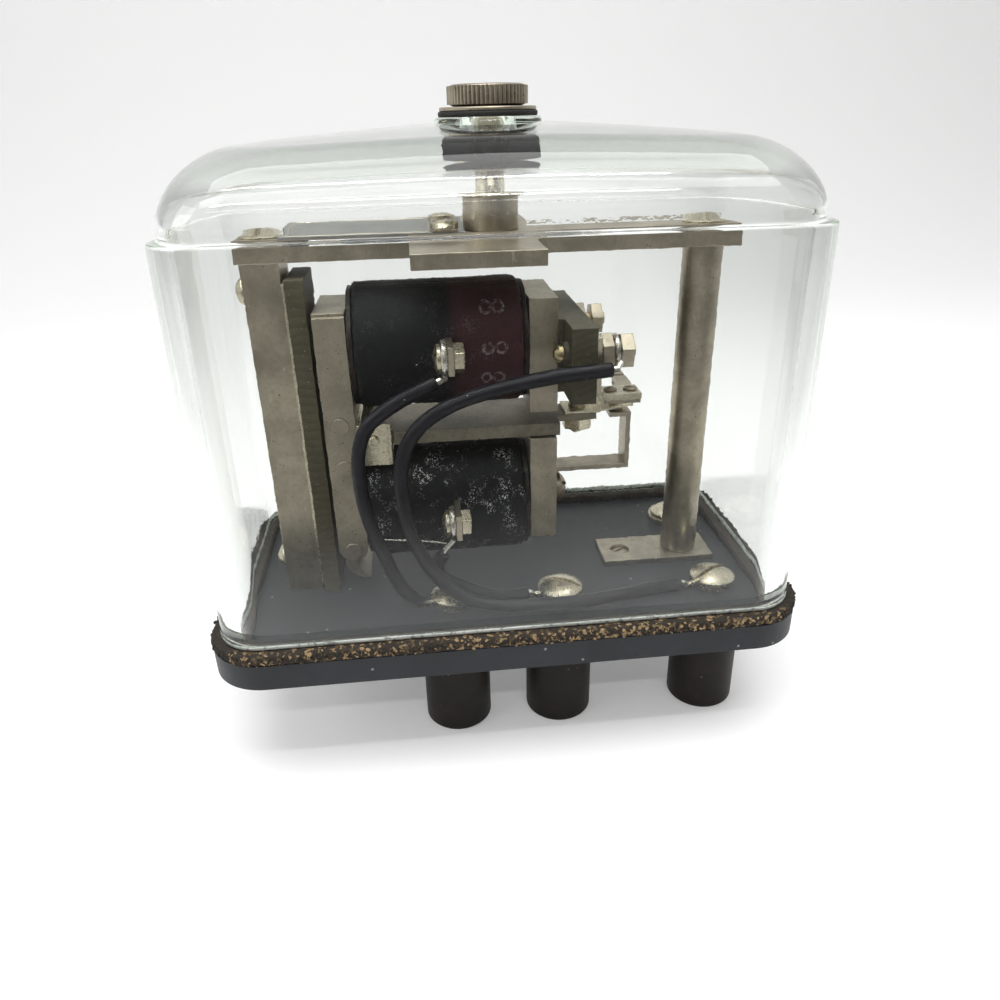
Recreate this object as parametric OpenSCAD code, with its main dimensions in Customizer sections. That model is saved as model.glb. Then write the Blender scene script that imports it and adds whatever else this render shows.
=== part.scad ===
// Auxiliary relay: a two-coil magnet and its armature on a footed base, under a clamped glass cover.
// Millimetres, Z up. The origin lies under the middle of the base, level with the bottoms of the feet.

/* [Base and feet] */
// Width of the base plate, along X
base_w = 152; // [150:1:180]
// Depth of the base plate, along Y
base_d = 86; // [84:1:100]
// Thickness of the base plate
base_t = 7; // [6:0.5:12]
// Corner radius of the base plate, seen from above
base_r = 14; // [11:1:20]
// Height of the insulating feet below the base plate
leg_h = 31; // [24:1:45]
// Diameter of the insulating feet
leg_d = 18.4; // [16:0.2:22]
// Distance of the outer feet from the ends of the base
stud_inset = 19; // [16:0.5:20]
// Distance of the inner feet from the middle, along X
stud_mid_x = 14.5; // [14:0.5:16]
// Distance of the feet from the middle, along Y
stud_y = 20; // [19.5:0.5:22]
// Diameter of the brass insert in each foot
insert_d = 9; // [8:0.5:11]
// Diameter of the threaded hole in the bottom of each insert
tap_d = 4.2; // [3:0.1:5]
// Depth of that hole
tap_l = 12; // [6:1:14]
// Diameter of the terminal screw heads on the base
terminal_d = 12; // [11:0.5:13]
// Height of the terminal screw heads
terminal_h = 3.4; // [3:0.1:4.5]

/* [Gasket and glass cover] */
// Thickness of the cork gasket
gasket_t = 2.6; // [1.5:0.1:4]
// Width of the gasket ring
gasket_w = 8; // [7:0.5:10]
// Distance of the glass from the edge of the base
cover_inset = 2.6; // [1:0.1:3]
// Corner radius of the glass, seen from above
cover_r = 11; // [9:0.5:14]
// Wall thickness of the glass
glass_t = 3.6; // [2.5:0.1:4.5]
// Thickness of the glass round the stud hole
glass_top_t = 6; // [4:0.5:7]
// Wall thickness of the dome
dome_wall = 4.5; // [3:0.1:5]
// How much each side leans in from the rim to the ledge
draft = 0.7; // [0:0.1:1.5]
// Width of the moulded ledge below the dome
ledge_w = 1.8; // [1:0.1:3]
// Height of the dome above the ledge
dome_h = 20.6; // [18:0.2:26]
// Width of the dome's rounded shoulder, seen from above
shoulder = 13.5; // [11:0.5:16]
// Part of the dome's height that is the slight crown
crown_h = 5; // [2:0.5:6]
// Diameter of the raised ring round the stud hole
boss_d = 25; // [24.5:0.5:30]
// Height of that ring
boss_h = 0.8; // [0.4:0.1:2]
// Diameter of the stud hole in the glass
cover_hole_d = 8.6; // [8.2:0.2:10]
// Height of the glass top above the pillar's collar
cover_room = 14.5; // [11:0.5:20]

/* [Thumb nut and washers] */
// Diameter of the rubber washer
rubber_d = 23; // [21:0.5:24]
// Thickness of the rubber washer
rubber_t = 1.1; // [0.8:0.1:2]
// Diameter of the metal washer
cap_washer_d = 22.4; // [20:0.2:24]
// Thickness of the metal washer
cap_washer_t = 0.9; // [0.6:0.1:1.5]
// Diameter of the thumb nut over its flutes
nut_d = 19; // [16:0.5:20]
// Height of the thumb nut
nut_h = 4.6; // [4:0.2:8]
// Number of flutes round the thumb nut
nut_flutes = 56; // [30:2:60]

/* [Frame] */
// Height of the top plate's underside above the base
frame_h = 88.3; // [87:0.1:100]
// Distance of the flat upright from the left end of the base
upright_inset = 21; // [20:0.1:22]
// Width of the upright, along X
upright_w = 9; // [8:0.2:9.6]
// Depth of the upright and of the top plate's arms, along Y
bar_d = 15; // [12:0.5:17]
// Distance of the round post from the right end of the base
post_inset = 22.5; // [21.5:0.5:24]
// Diameter of the round post
post_d = 9.9; // [8:0.1:12]
// Thickness of the post's foot plate
foot_t = 1.5; // [1:0.1:3]
// Depth of the post's foot plate, along Y
foot_d = 13.6; // [12:0.2:15]
// Thickness of the top plate
top_t = 3.5; // [3:0.1:5]
// How far the top plate stands out past the upright
top_lip = 1.1; // [0.5:0.1:2]
// Width of the top plate's broad middle, along X
bridge_w = 30; // [26:1:40]
// Depth of the top plate's broad middle, along Y
bridge_d = 50; // [44:1:56]
// Diameter of the cover pillar
pillar_d = 13.4; // [12:0.2:15]
// Height of the cover pillar
pillar_h = 10.5; // [8:0.5:13]
// Diameter of the collar on the pillar
collar_d = 16; // [14:0.2:18]
// Thickness of the collar
collar_t = 1.2; // [0.8:0.1:2]
// Diameter of the cover stud
stud_d = 7; // [6:0.1:7.6]
// Thickness of the nameplate
label_t = 1; // [0.6:0.1:1.4]
// Depth of the nameplate, along Y
label_d = 23; // [20:1:26]

/* [Magnet] */
// Thickness of the insulating board
board_t = 4.4; // [3.5:0.1:5]
// Depth of the insulating board, along Y
board_d = 19; // [17:0.5:24]
// Room between the insulating board and the top plate
board_room = 3.7; // [1:0.1:5]
// Thickness of the metal strip between upright and board
strip_t = 0.8; // [0.5:0.1:1]
// Gap between the board and the yoke, filled by spacers
yoke_gap = 1.2; // [0.8:0.1:1.6]
// Thickness of the yoke, along X
yoke_t = 7.7; // [6.5:0.1:8]
// Depth of the yoke and of the pole plates, along Y
mag_d = 24; // [20:0.5:25]
// Length from the yoke to the pole plates, as a part of the base's width
coil_part = 0.2895; // [0.28:0.0005:0.3]
// Thickness of the pole plates, along X
pole_t = 7.1; // [6:0.1:7.5]
// Height of the lower coil's axis above the base, as a part of the frame's height
low_part = 0.264; // [0.25:0.001:0.27]
// Height from the lower to the upper coil's axis, as a part of the frame's height
pitch_part = 0.487; // [0.48:0.001:0.495]
// Gap between the two taped windings
coil_gap = 11; // [10.6:0.2:13]
// Diameter of the iron cores
core_d = 12; // [10:0.2:14]
// Thickness of the bobbin flanges
flange_t = 1.2; // [1:0.1:2]

/* [Armature and contacts] */
// Thickness of the armature
tongue_t = 3.3; // [2.4:0.1:3.6]
// Depth of the armature between the coils, along Y
tongue_d = 22; // [20:0.5:23]
// Width of the armature's narrow end, along Y
arm_w = 9; // [8:0.2:10]
// Thickness of the armature's narrow end
arm_t = 2; // [1.5:0.1:2.4]
// Gap between the armature and the lower pole plate
rest_gap = 0.3; // [0.2:0.1:0.8]
// Diameter of the pivot pin
pin_d = 2.4; // [2:0.1:2.8]
// Opening between the two pole plates
pole_gap = 7.3; // [7:0.1:7.8]
// Thickness of the contact block, along X
block_t = 6.1; // [5.5:0.1:6.5]
// Depth of the contact block, along Y
block_d = 45; // [43.5:0.5:46]
// Height of the contact block
block_h = 18.4; // [17:0.2:20]
// Distance of the contact bolts from the middle, along Y
bolt_y = 17; // [16.8:0.1:17.5]
// Diameter of the contact bolts
bolt_d = 3.4; // [3:0.1:4.2]
// Width across the flats of the hexagon nuts
hex_af = 7.9; // [7:0.1:8.2]
// Thickness of the contact brackets
bracket_t = 1.6; // [1.2:0.1:1.8]
// Width of the contact brackets, along Y
bracket_w = 7; // [6:0.5:9]
// Thickness of the bent stop strip
stop_t = 1.3; // [1:0.1:1.5]
// Width of the bent stop strip, along Y
stop_w = 7; // [6:0.5:8]

/* [Leads] */
// Diameter of the insulated leads
lead_d = 3.5; // [3:0.1:4.3]
// Diameter of the bare copper wire
wire_d = 1.6; // [1.2:0.1:1.7]

/* [Hidden] */
$fn = 48;
// Clearance of a screw or rod in its hole
fit = 0.05;
// Clearance between pieces that move past each other
run = 0.3;
// Clearance of a wire's eye from what it lies on
loop_lift = 0.05;
// Height of the base's top face and of the gasket's top face
deck = leg_h + base_t;
seat_z = deck + gasket_t;
// Heights of the frame above the feet
top_z = deck + frame_h;
plate_z = top_z + top_t;
pillar_z = plate_z + pillar_h;
collar_z = pillar_z + collar_t;
boss_z = collar_z + cover_room;
rubber_z = boss_z + rubber_t;
nut_z = rubber_z + cap_washer_t;
crown_z = boss_z - boss_h;
ledge_z = crown_z - dome_h;
// Places and lengths that follow the base and the frame
stud_x = base_w / 2 - stud_inset;
upright_x = base_w / 2 - upright_inset;
post_x = base_w / 2 - post_inset;
top_w = 2 * (upright_x + upright_w / 2 + top_lip);
board_h = frame_h - board_room;
coil_l = base_w * coil_part;
coil_low_h = frame_h * low_part;
coil_pitch = frame_h * pitch_part;
coil_d = coil_pitch - coil_gap;
// Faces of the magnet along X, each worked out from its left neighbour
upright_right = -upright_x + upright_w / 2;
strip_right = upright_right + strip_t;
board_right = strip_right + board_t;
yoke_left = board_right + yoke_gap;
yoke_right = yoke_left + yoke_t;
pole_left = yoke_right + coil_l;
pole_right = pole_left + pole_t;
block_gap = 1.5;
block_left = pole_right + block_gap;
block_right = block_left + block_t;
// Heights of the magnet
coil_low_z = deck + coil_low_h;
coil_high_z = coil_low_z + coil_pitch;
mid_z = (coil_low_z + coil_high_z) / 2;
tongue_z = mid_z - 1.8;
tongue_top = tongue_z + tongue_t;
pole_low_top = tongue_z - rest_gap;
pole_high_bottom = pole_low_top + pole_gap;
pole_h = coil_pitch * 0.665;
yoke_low = 12.5;
yoke_high = 10.7;
yoke_bottom = coil_low_z - yoke_low;
yoke_top = coil_high_z + yoke_high;
seam_z = mid_z + 7.5;
rivet_d = 4.6;
rivet_zs = [seam_z - 3.4, seam_z - 14.9, coil_low_z - 9.7];
core_shank_d = 4.8;
// Screws that hold the frame together
board_screw_d = 7;
board_screw_h = 3.2;
board_screw_zs = [deck + 7.2, deck + board_h - 3.7];
board_skin = 1;
plate_screw_d = 10.6;
plate_screw_h = 1.7;
shank_d = 4;
// Pivot of the armature, in a strap on the yoke
strap_t = 1.1;
strap_l = 8.8;
strap_d = 23;
strap_low = 5.2;
strap_high = 5.8;
pivot_x = yoke_right + 4.2;
pivot_z = tongue_z + tongue_t / 2;
knuckle_d = 5;
neck_d = strap_d - 2 * strap_t - 1.2;
// Contact parts
bolt_z = coil_high_z;
block_z = pole_high_bottom + 5;
head_d = 4.2;
head_h = 2.6;
bushing_d = 5.4;
bushing_t = 1.2;
nut_in_t = 2.9;
nut_out_t = 3.2;
bracket_left = block_right;
bolt_nut_x = block_right + bracket_t;
loop_x = bolt_nut_x + nut_in_t;
nut_out_x = loop_x + wire_d + 2 * loop_lift;
bolt_end = nut_out_x + nut_out_t + 0.8;
bracket_z = block_z - 0.1;
bracket_reach = 11.7;
bracket_h = 15.6;
leaf_t = 0.6;
fixed_leaf_t = 0.9;
screw_xs = [block_right + 4.6, block_right + 9.6];
clamp_x = block_right - 0.2;
leaf_tail = 4;
arm_end = clamp_x + 4.5;
leaf_bend = arm_end + 0.5;
leaf_rise = 1.4;
leaf_end = leaf_bend + 9.4;
touch_x = leaf_end - 3.4;
touch_z = tongue_top + leaf_rise * (touch_x - leaf_bend) / (leaf_end - leaf_bend);
touch_d = 5;
touch_head = 0.5;
// Lift of the moving contact's outer edge, at the end of the armature's travel
travel = 2.8;
touch_lift = (touch_x + touch_d / 2 - pivot_x) * sin(travel);
tip_z = touch_z + leaf_t + touch_head + touch_lift + run;
tip_d = 2.4;
tip_y = 1.8;
stop_x = leaf_end - 0.2;
stop_leg_z = coil_low_z + 6;
stop_foot_z = coil_low_z - 4.2;
stop_button = 0.8;
stop_lip_z = touch_z - touch_head - run - stop_button;
// Coil terminals on the front of the windings
terminal_y = -(coil_d / 2 + 4.9);
terminal_rise = 1.3;
terminal_zs = [coil_low_z + terminal_rise, coil_high_z + terminal_rise];
tab_x = (yoke_right + pole_left) / 2 + 1.5;
tab_t = 1.4;
tab_h = 6.8;
tab_reach = 3.6;
tab_root = coil_d / 2 - 1.5;
coil_head_d = 6.9;
coil_head_h = 1.75;
coil_loop_r = 3.7;
// Terminal screws on the base: place of each foot, and the turn of each slot
front_studs = [[-stud_mid_x, -stud_y], [stud_mid_x, -stud_y], [stud_x, -stud_y]];
back_studs = [[stud_x, stud_y], [-stud_x, stud_y]];
studs = concat(front_studs, back_studs);
slot_turns = [10, -20, 25, 60, 0];
base_loop_r = 4.2;
head_z = deck + wire_d + 2 * loop_lift;
// Routes of the three insulated leads, from the terminal to the base, with heights above the base
upper_lead_way = [
    [-15.6, -22, 62.3], [-19.2, -22.4, 60.8], [-23.4, -22.4, 58.9], [-28, -22.2, 56.2],
    [-31.9, -22, 53.1], [-34.4, -22, 49.1], [-35.7, -22, 43.6], [-35.8, -22, 37.2],
    [-35.2, -22, 30.8], [-33.8, -22, 24.3], [-31.9, -22, 17.9], [-29.7, -22, 11.4],
    [-27.4, -22, 6.6], [-24.8, -21.6, 3.6], [-23.2, -21.2, 1.9]
];
lower_lead_way = [
    [-16.5, -22, 16.7], [-18, -22.2, 13.5], [-17.2, -22.6, 9.9], [-12.5, -22.9, 7.3],
    [-6, -22.8, 3.9], [0, -22.2, 2.2], [5.4, -20.8, 1.85]
];
contact_lead_way = [
    [25.4, -24.6, 64], [19, -25.4, 63.8], [13, -26, 63.6], [3.6, -26, 62.2], [-4.6, -26, 60.5],
    [-11.8, -26, 58.2], [-17.8, -26, 55.1], [-22, -26, 51.1], [-24.5, -26, 46.5], [-25.6, -26, 40.6],
    [-25.6, -26, 33.9], [-24.7, -26, 26.9], [-22.4, -26, 19.5], [-18.8, -26, 12.8], [-14, -26.5, 7.4],
    [-8, -27.2, 4.2], [0, -28, 3], [8, -28.4, 2.9], [14.5, -28.4, 2.9], [21, -28, 2.8],
    [30, -26, 2.5], [40, -23, 2], [47.4, -21.6, 1.85]
];
way_tab_x = -12.9;
way_loop_x = 26.8;
way_stud_x = 57;
way_stud_mid_x = 14.5;
way_frame_h = 88.3;

// A route whose two ends keep beside the pieces that they are wired to
function placed(way, head_shift, tail_shift) = [
    for (i = [0 : len(way) - 1])
        let (s = i / (len(way) - 1))
            [way[i].x + head_shift * (1 - s) + tail_shift * s, way[i].y,
             deck + max(way[i].z * frame_h / way_frame_h, lead_d / 2 + loop_lift)]
];
upper_lead_route = placed(upper_lead_way, tab_x - way_tab_x, way_stud_mid_x - stud_mid_x);
lower_lead_route = placed(lower_lead_way, tab_x - way_tab_x, stud_mid_x - way_stud_mid_x);
contact_lead_route = placed(contact_lead_way, loop_x - way_loop_x, stud_x - way_stud_x);
lead_sides = 10;
wire_sides = 8;

// Colours of the finishes
nickel = [0.62, 0.60, 0.56];
pale_nickel = [0.78, 0.76, 0.68];
brass = [0.72, 0.62, 0.40];
base_black = [0.16, 0.17, 0.19];
foot_black = [0.12, 0.10, 0.09];
cork = [0.22, 0.17, 0.12];
glass = [0.80, 0.86, 0.84, 0.35];
fibre = [0.27, 0.25, 0.19];
tape = [0.09, 0.09, 0.10];
tape_maroon = [0.13, 0.08, 0.08];
iron = [0.45, 0.43, 0.40];
copper = [0.70, 0.66, 0.60];
lead_black = [0.11, 0.10, 0.13];
etched_grey = [0.60, 0.61, 0.60];

// Small building blocks

// Turns a shape that stands along Z so that it points along +X
module along_x(at) {
    translate(at) rotate([0, 90, 0]) children();
}

// Turns a shape that stands along Z so that it points along +Y
module along_y(at) {
    translate(at) rotate([-90, 0, 0]) children();
}

// Outline of a rectangle with round corners, about the origin
module round_rect(w, d, r) {
    for (sx = [-1, 1])
        for (sy = [-1, 1])
            translate([sx * (w / 2 - r), sy * (d / 2 - r)]) circle(r);
    square([w - 2 * r, d], center = true);
    square([w, d - 2 * r], center = true);
}

// A block from x0 to x1, centred along Y, from z0 to z1
module bar(x0, x1, depth, z0, z1) {
    translate([x0, -depth / 2, z0]) cube([x1 - x0, depth, z1 - z0]);
}

// A round head with a straight edge, a domed top and a slot, standing on z = 0
module slotted_head(d, h, slot_w, turn = 0) {
    edge = h * 0.4;
    cap = h - edge;
    dome = (d * d / 4 + cap * cap) / (2 * cap);
    difference() {
        intersection() {
            cylinder(d = d, h = h);
            translate([0, 0, h - dome]) sphere(dome, $fn = 96);
        }
        rotate(turn) translate([-d, -slot_w / 2, h * 0.55]) cube([2 * d, slot_w, h]);
    }
}

// A hexagon nut with its hole, standing on z = 0
module hex_nut(af, h, hole) {
    difference() {
        cylinder(d = af / cos(30), h = h, $fn = 6);
        translate([0, 0, -1]) cylinder(d = hole, h = h + 2);
    }
}

// A tube of an even number of sides along a list of points
function unit(v) = v / norm(v);
function heading(p, i) = unit(p[min(i + 1, len(p) - 1)] - p[max(i - 1, 0)]);
function carried(n, t) = unit(n - (n * t) * t);
function normals(p, i = 0, n = [0, 1, 0.2], found = []) =
    i == len(p) ? found :
    let (next = carried(n, heading(p, i))) normals(p, i + 1, next, concat(found, [next]));
function ring_point(c, n, b, r, a) = c + r * (cos(a) * n + sin(a) * b);

module tube(route, d, sides) {
    side_n = normals(route);
    points = [
        for (i = [0 : len(route) - 1])
            for (k = [0 : sides - 1])
                ring_point(route[i], side_n[i], cross(heading(route, i), side_n[i]), d / 2, 360 * k / sides)
    ];
    last = (len(route) - 1) * sides;
    walls = [
        for (i = [0 : len(route) - 2])
            for (k = [0 : sides - 1])
                let (a = i * sides + k, b = i * sides + (k + 1) % sides)
                    each [[a, a + sides, b], [b, a + sides, b + sides]]
    ];
    ends = [
        for (k = [1 : sides - 2])
            each [[0, k, k + 1], [last, last + k + 1, last + k]]
    ];
    polyhedron(points, concat(walls, ends), convexity = 6);
}

// Glass cover, lofted through rings from the outer rim over the dome and back down inside

corner_steps = 8;
long_steps = 8;
short_steps = 4;
ring_size = 4 * corner_steps + 2 * long_steps + 2 * short_steps;
cover_a = base_w / 2 - cover_inset;
cover_b = base_d / 2 - cover_inset;
dome_a = cover_a - draft - ledge_w;
dome_b = cover_b - draft - ledge_w;
inner_shoulder = 7;
top_r = min(dome_b - shoulder - 1, 17);
arc_steps = 8;
crown_steps = 6;

// Points round a rectangle with round corners, from the lower end of its right side
function corner(cx, cy, r, from) = [
    for (k = [0 : corner_steps - 1])
        let (t = from + 90 * k / corner_steps) [cx + r * cos(t), cy + r * sin(t)]
];
function side(p, q, steps) = [for (k = [0 : steps - 1]) p + (q - p) * k / steps];
function outline(a, b, r) = concat(
    side([a, r - b], [a, b - r], short_steps), corner(a - r, b - r, r, 0),
    side([a - r, b], [r - a, b], long_steps), corner(r - a, b - r, r, 90),
    side([-a, b - r], [-a, r - b], short_steps), corner(r - a, r - b, r, 180),
    side([r - a, -b], [a - r, -b], long_steps), corner(a - r, r - b, r, 270)
);
function disc(r) = [
    for (i = [0 : ring_size - 1])
        let (t = 360 * (i - short_steps / 2) / ring_size) [r * cos(t), r * sin(t)]
];

// A ring of points at height z, with part of the slight crown added
function crown(p) = (1 - pow(min(1, abs(p.x) / dome_a), 1.5)) * (1 - pow(min(1, abs(p.y) / dome_b), 1.5));
function ring(plan, z, lift = 0) = [for (p = plan) [p.x, p.y, z + lift * crown_h * crown(p)]];
function wall_ring(inset, r, z) = ring(outline(cover_a - inset, cover_b - inset, r), z);

// The shoulder: a quarter round of the given width, from the wall up to the crown
function shoulder_ring(s, in, width, z0, rise) =
    let (t = 90 * s, inset = in + width * (1 - cos(t)))
        ring(outline(dome_a - inset, dome_b - inset, cover_r - in * 0.6 + (top_r - cover_r) * s),
             z0 + rise * sin(t), sin(t));

// The crown: from the end of the shoulder in to a circle of radius rc
function crown_ring(s, in, width, rc, z) =
    let (inset = in + width)
        ring(outline(dome_a - inset, dome_b - inset, top_r - in * 0.6) * (1 - s) + disc(rc) * s, z, 1);

dome_step = 3.4;
arc_z = ledge_z + dome_step;
flat_z = crown_z - crown_h;
inner_arc_z = ledge_z - 0.6;
inner_flat_z = boss_z - glass_top_t - crown_h;
inner_ledge_z = ledge_z - 2;
hole_r = cover_hole_d / 2;

cover_rings = concat(
    [wall_ring(0, cover_r, seat_z), wall_ring(draft, cover_r, ledge_z)],
    [wall_ring(draft + ledge_w, cover_r, ledge_z)],
    [for (k = [0 : arc_steps]) shoulder_ring(k / arc_steps, 0, shoulder, arc_z, flat_z - arc_z)],
    [for (k = [1 : crown_steps]) crown_ring(k / crown_steps, 0, shoulder, boss_d / 2, flat_z)],
    [ring(disc(boss_d / 2), boss_z), ring(disc(hole_r), boss_z)],
    [for (k = [crown_steps : -1 : 1]) crown_ring(k / crown_steps, dome_wall, inner_shoulder, hole_r, inner_flat_z)],
    [for (k = [arc_steps : -1 : 0])
        shoulder_ring(k / arc_steps, dome_wall, inner_shoulder, inner_arc_z, inner_flat_z - inner_arc_z)],
    [wall_ring(draft + glass_t, cover_r - glass_t * 0.6, inner_ledge_z),
     wall_ring(glass_t, cover_r - glass_t * 0.6, seat_z)]
);

module glass_cover() {
    n = len(cover_rings);
    points = [for (each_ring = cover_rings) each each_ring];
    faces = [
        for (i = [0 : n - 1])
            for (k = [0 : ring_size - 1])
                let (a = i * ring_size + k,
                     b = i * ring_size + (k + 1) % ring_size,
                     c = ((i + 1) % n) * ring_size + k,
                     d = ((i + 1) % n) * ring_size + (k + 1) % ring_size)
                    each [[a, c, b], [b, c, d]]
    ];
    color(glass) polyhedron(points, faces, convexity = 8);
}

// Base, feet and terminals

module base_plate() {
    color(base_black)
        difference() {
            translate([0, 0, leg_h]) linear_extrude(base_t) round_rect(base_w, base_d, base_r);
            for (p = studs)
                translate([p.x, p.y, leg_h - 1]) cylinder(d = insert_d + 2 * fit, h = base_t + 2);
            for (x = [-upright_x, post_x])
                translate([x, 0, leg_h - 1]) {
                    cylinder(d = shank_d + 2 * fit, h = base_t + 2);
                    cylinder(d = bolt_head_d + 2 * fit, h = bolt_head_h + 1);
                }
            translate([foot_screw_x, 0, deck - 4]) cylinder(d = foot_screw_d / 2 + 2 * fit, h = 5);
        }
}
bolt_head_d = 8;
bolt_head_h = 3;
foot_screw_d = 5.4;
foot_screw_x = post_x - 17.5;

module cork_gasket() {
    color(cork)
        translate([0, 0, deck])
            linear_extrude(gasket_t)
                difference() {
                    round_rect(base_w, base_d, base_r);
                    round_rect(base_w - 2 * gasket_w, base_d - 2 * gasket_w, base_r - gasket_w + 1);
                }
}

module insulating_feet() {
    color(foot_black)
        for (p = studs)
            translate([p.x, p.y, 0])
                difference() {
                    union() {
                        translate([0, 0, 1]) cylinder(d = leg_d, h = leg_h - 1);
                        cylinder(d1 = leg_d - 2, d2 = leg_d, h = 1);
                    }
                    translate([0, 0, -1]) cylinder(d = insert_d + 2 * fit, h = leg_h + 2);
                }
}

// Brass columns through each foot and the base, tapped at both ends
module foot_inserts() {
    color(brass)
        for (p = studs)
            translate([p.x, p.y, 0])
                difference() {
                    translate([0, 0, 0.4]) cylinder(d = insert_d, h = deck - 0.4);
                    translate([0, 0, -1]) cylinder(d = tap_d, h = tap_l + 1.4);
                    translate([0, 0, deck - screw_l - 1]) cylinder(d = terminal_shank_d + 2 * fit, h = screw_l + 2);
                }
}
screw_l = 10;
terminal_shank_d = 5;

module terminal_screws() {
    color(pale_nickel)
        for (i = [0 : len(studs) - 1])
            translate([studs[i].x, studs[i].y, head_z]) {
                slotted_head(terminal_d, terminal_h, 1.6, slot_turns[i]);
                translate([0, 0, deck - screw_l - head_z]) cylinder(d = terminal_shank_d, h = screw_l + 1);
            }
}

// Plain washers under the two terminal screws that hold no wire
module terminal_washers() {
    color(nickel)
        for (p = back_studs)
            translate([p.x, p.y, deck])
                difference() {
                    cylinder(d = terminal_d + 1, h = head_z - deck);
                    translate([0, 0, -1]) cylinder(d = terminal_shank_d + 2 * fit, h = 4);
                }
}

// Bolts from below that hold the upright and the post
module frame_bolts() {
    color(nickel)
        for (x = [-upright_x, post_x])
            translate([x, 0, leg_h]) {
                cylinder(d = bolt_head_d, h = bolt_head_h);
                cylinder(d = shank_d, h = base_t + bolt_grip);
            }
}
bolt_grip = 4.6;

// Frame

module upright() {
    color(nickel)
        difference() {
            bar(-upright_x - upright_w / 2, upright_right, bar_d, deck, top_z);
            translate([-upright_x, 0, deck - 1]) cylinder(d = shank_d + 2 * fit, h = bolt_grip + 1.5);
            translate([-upright_x, 0, top_z - plate_grip]) cylinder(d = shank_d + 2 * fit, h = plate_grip + 1);
            for (z = board_screw_zs)
                along_x([-upright_x - upright_w, 0, z]) cylinder(d = shank_d + 2 * fit, h = 2 * upright_w);
        }
}
plate_grip = 5;

module board_strip() {
    color(pale_nickel)
        difference() {
            bar(upright_right, strip_right, bar_d + 1, deck + 2, deck + board_h - 1);
            for (z = board_screw_zs)
                along_x([upright_right - 1, 0, z]) cylinder(d = shank_d + 2 * fit, h = strip_t + 2);
        }
}

module insulating_board() {
    color(fibre)
        difference() {
            bar(strip_right, board_right, board_d, deck, deck + board_h);
            for (z = board_screw_zs)
                along_x([strip_right - 1, 0, z]) cylinder(d = shank_d + 2 * fit, h = board_t + 1 - board_skin);
            for (z = yoke_screw_zs)
                along_x([strip_right, 0, z]) {
                    translate([0, 0, -1]) cylinder(d = shank_d + 2 * fit, h = board_t + 2);
                    translate([0, 0, -1]) cylinder(d = yoke_head_d + 2 * fit, h = yoke_head_h + 1);
                }
        }
}
yoke_screw_zs = [seam_z - 9.3, seam_z + 6.7];
yoke_head_d = 7;
yoke_head_h = 2.2;

module board_screws() {
    left = -upright_x - upright_w / 2;
    color(pale_nickel)
        for (z = board_screw_zs) {
            translate([left, 0, z]) rotate([0, -90, 0]) slotted_head(board_screw_d, board_screw_h, 1.2, 40);
            along_x([left, 0, z]) cylinder(d = shank_d, h = board_right - board_skin - fit - left);
        }
}

module post_foot() {
    color(nickel)
        difference() {
            bar(foot_screw_x - foot_tail, post_x + foot_toe, foot_d, deck, deck + foot_t);
            translate([post_x, 0, deck - 1]) cylinder(d = shank_d + 2 * fit, h = foot_t + 2);
            translate([foot_screw_x, 0, deck - 1]) cylinder(d = foot_screw_d + 2 * fit, h = foot_t + 2);
        }
}

foot_tail = 6;
foot_toe = 8.5;

module round_post() {
    color(nickel)
        difference() {
            translate([post_x, 0, deck + foot_t]) cylinder(d = post_d, h = frame_h - foot_t);
            translate([post_x, 0, deck]) cylinder(d = shank_d + 2 * fit, h = bolt_grip + 0.5);
            translate([post_x, 0, top_z - plate_grip]) cylinder(d = shank_d + 2 * fit, h = plate_grip + 1);
        }
}

// A screw sunk in the foot plate beside the post
module foot_screw() {
    color(nickel)
        translate([foot_screw_x, 0, deck]) {
            slotted_head(foot_screw_d, foot_t - 0.3, 1, 30);
            translate([0, 0, -3.5]) cylinder(d = foot_screw_d / 2, h = 4);
        }
}

// A flat cross: two arms and a broad middle that carries the pillar
module top_plate() {
    color(nickel)
        difference() {
            union() {
                bar(-top_w / 2, top_w / 2, bar_d, top_z, plate_z);
                bar(bridge_x - bridge_w / 2, bridge_x + bridge_w / 2, bridge_d, top_z, plate_z);
            }
            for (x = [-upright_x, post_x])
                translate([x, 0, top_z - 1]) cylinder(d = shank_d + 2 * fit, h = top_t + 2);
            for (y = label_screw_ys)
                translate([label_screw_x, y, top_z - 1]) cylinder(d = label_shank_d + 2 * fit, h = top_t + 2);
            translate([0, 0, top_z - 1]) cylinder(d = stud_d + 2 * fit, h = top_t + 2);
        }
}
bridge_x = -5;

module top_plate_screws() {
    color(nickel)
        for (x = [-upright_x, post_x])
            translate([x, 0, plate_z]) {
                slotted_head(plate_screw_d, plate_screw_h, 1.5, 80);
                translate([0, 0, -top_t - plate_grip + 0.5]) cylinder(d = shank_d, h = top_t + plate_grip);
            }
}

module cover_pillar() {
    color(nickel)
        translate([0, 0, plate_z])
            difference() {
                cylinder(d = pillar_d, h = pillar_h);
                translate([0, 0, -1]) cylinder(d = stud_d + 2 * fit, h = pillar_h + 2);
            }
}

module pillar_collar() {
    color(pale_nickel)
        translate([0, 0, pillar_z])
            difference() {
                cylinder(d = collar_d, h = collar_t);
                translate([0, 0, -1]) cylinder(d = stud_d + 2 * fit, h = collar_t + 2);
            }
}

// The stud reaches from the underside of the top plate into the thumb nut
module cover_stud() {
    color(nickel)
        translate([0, 0, top_z]) cylinder(d = stud_d, h = nut_z + nut_h - nut_cap - run - top_z);
}
nut_cap = 1;

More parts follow.
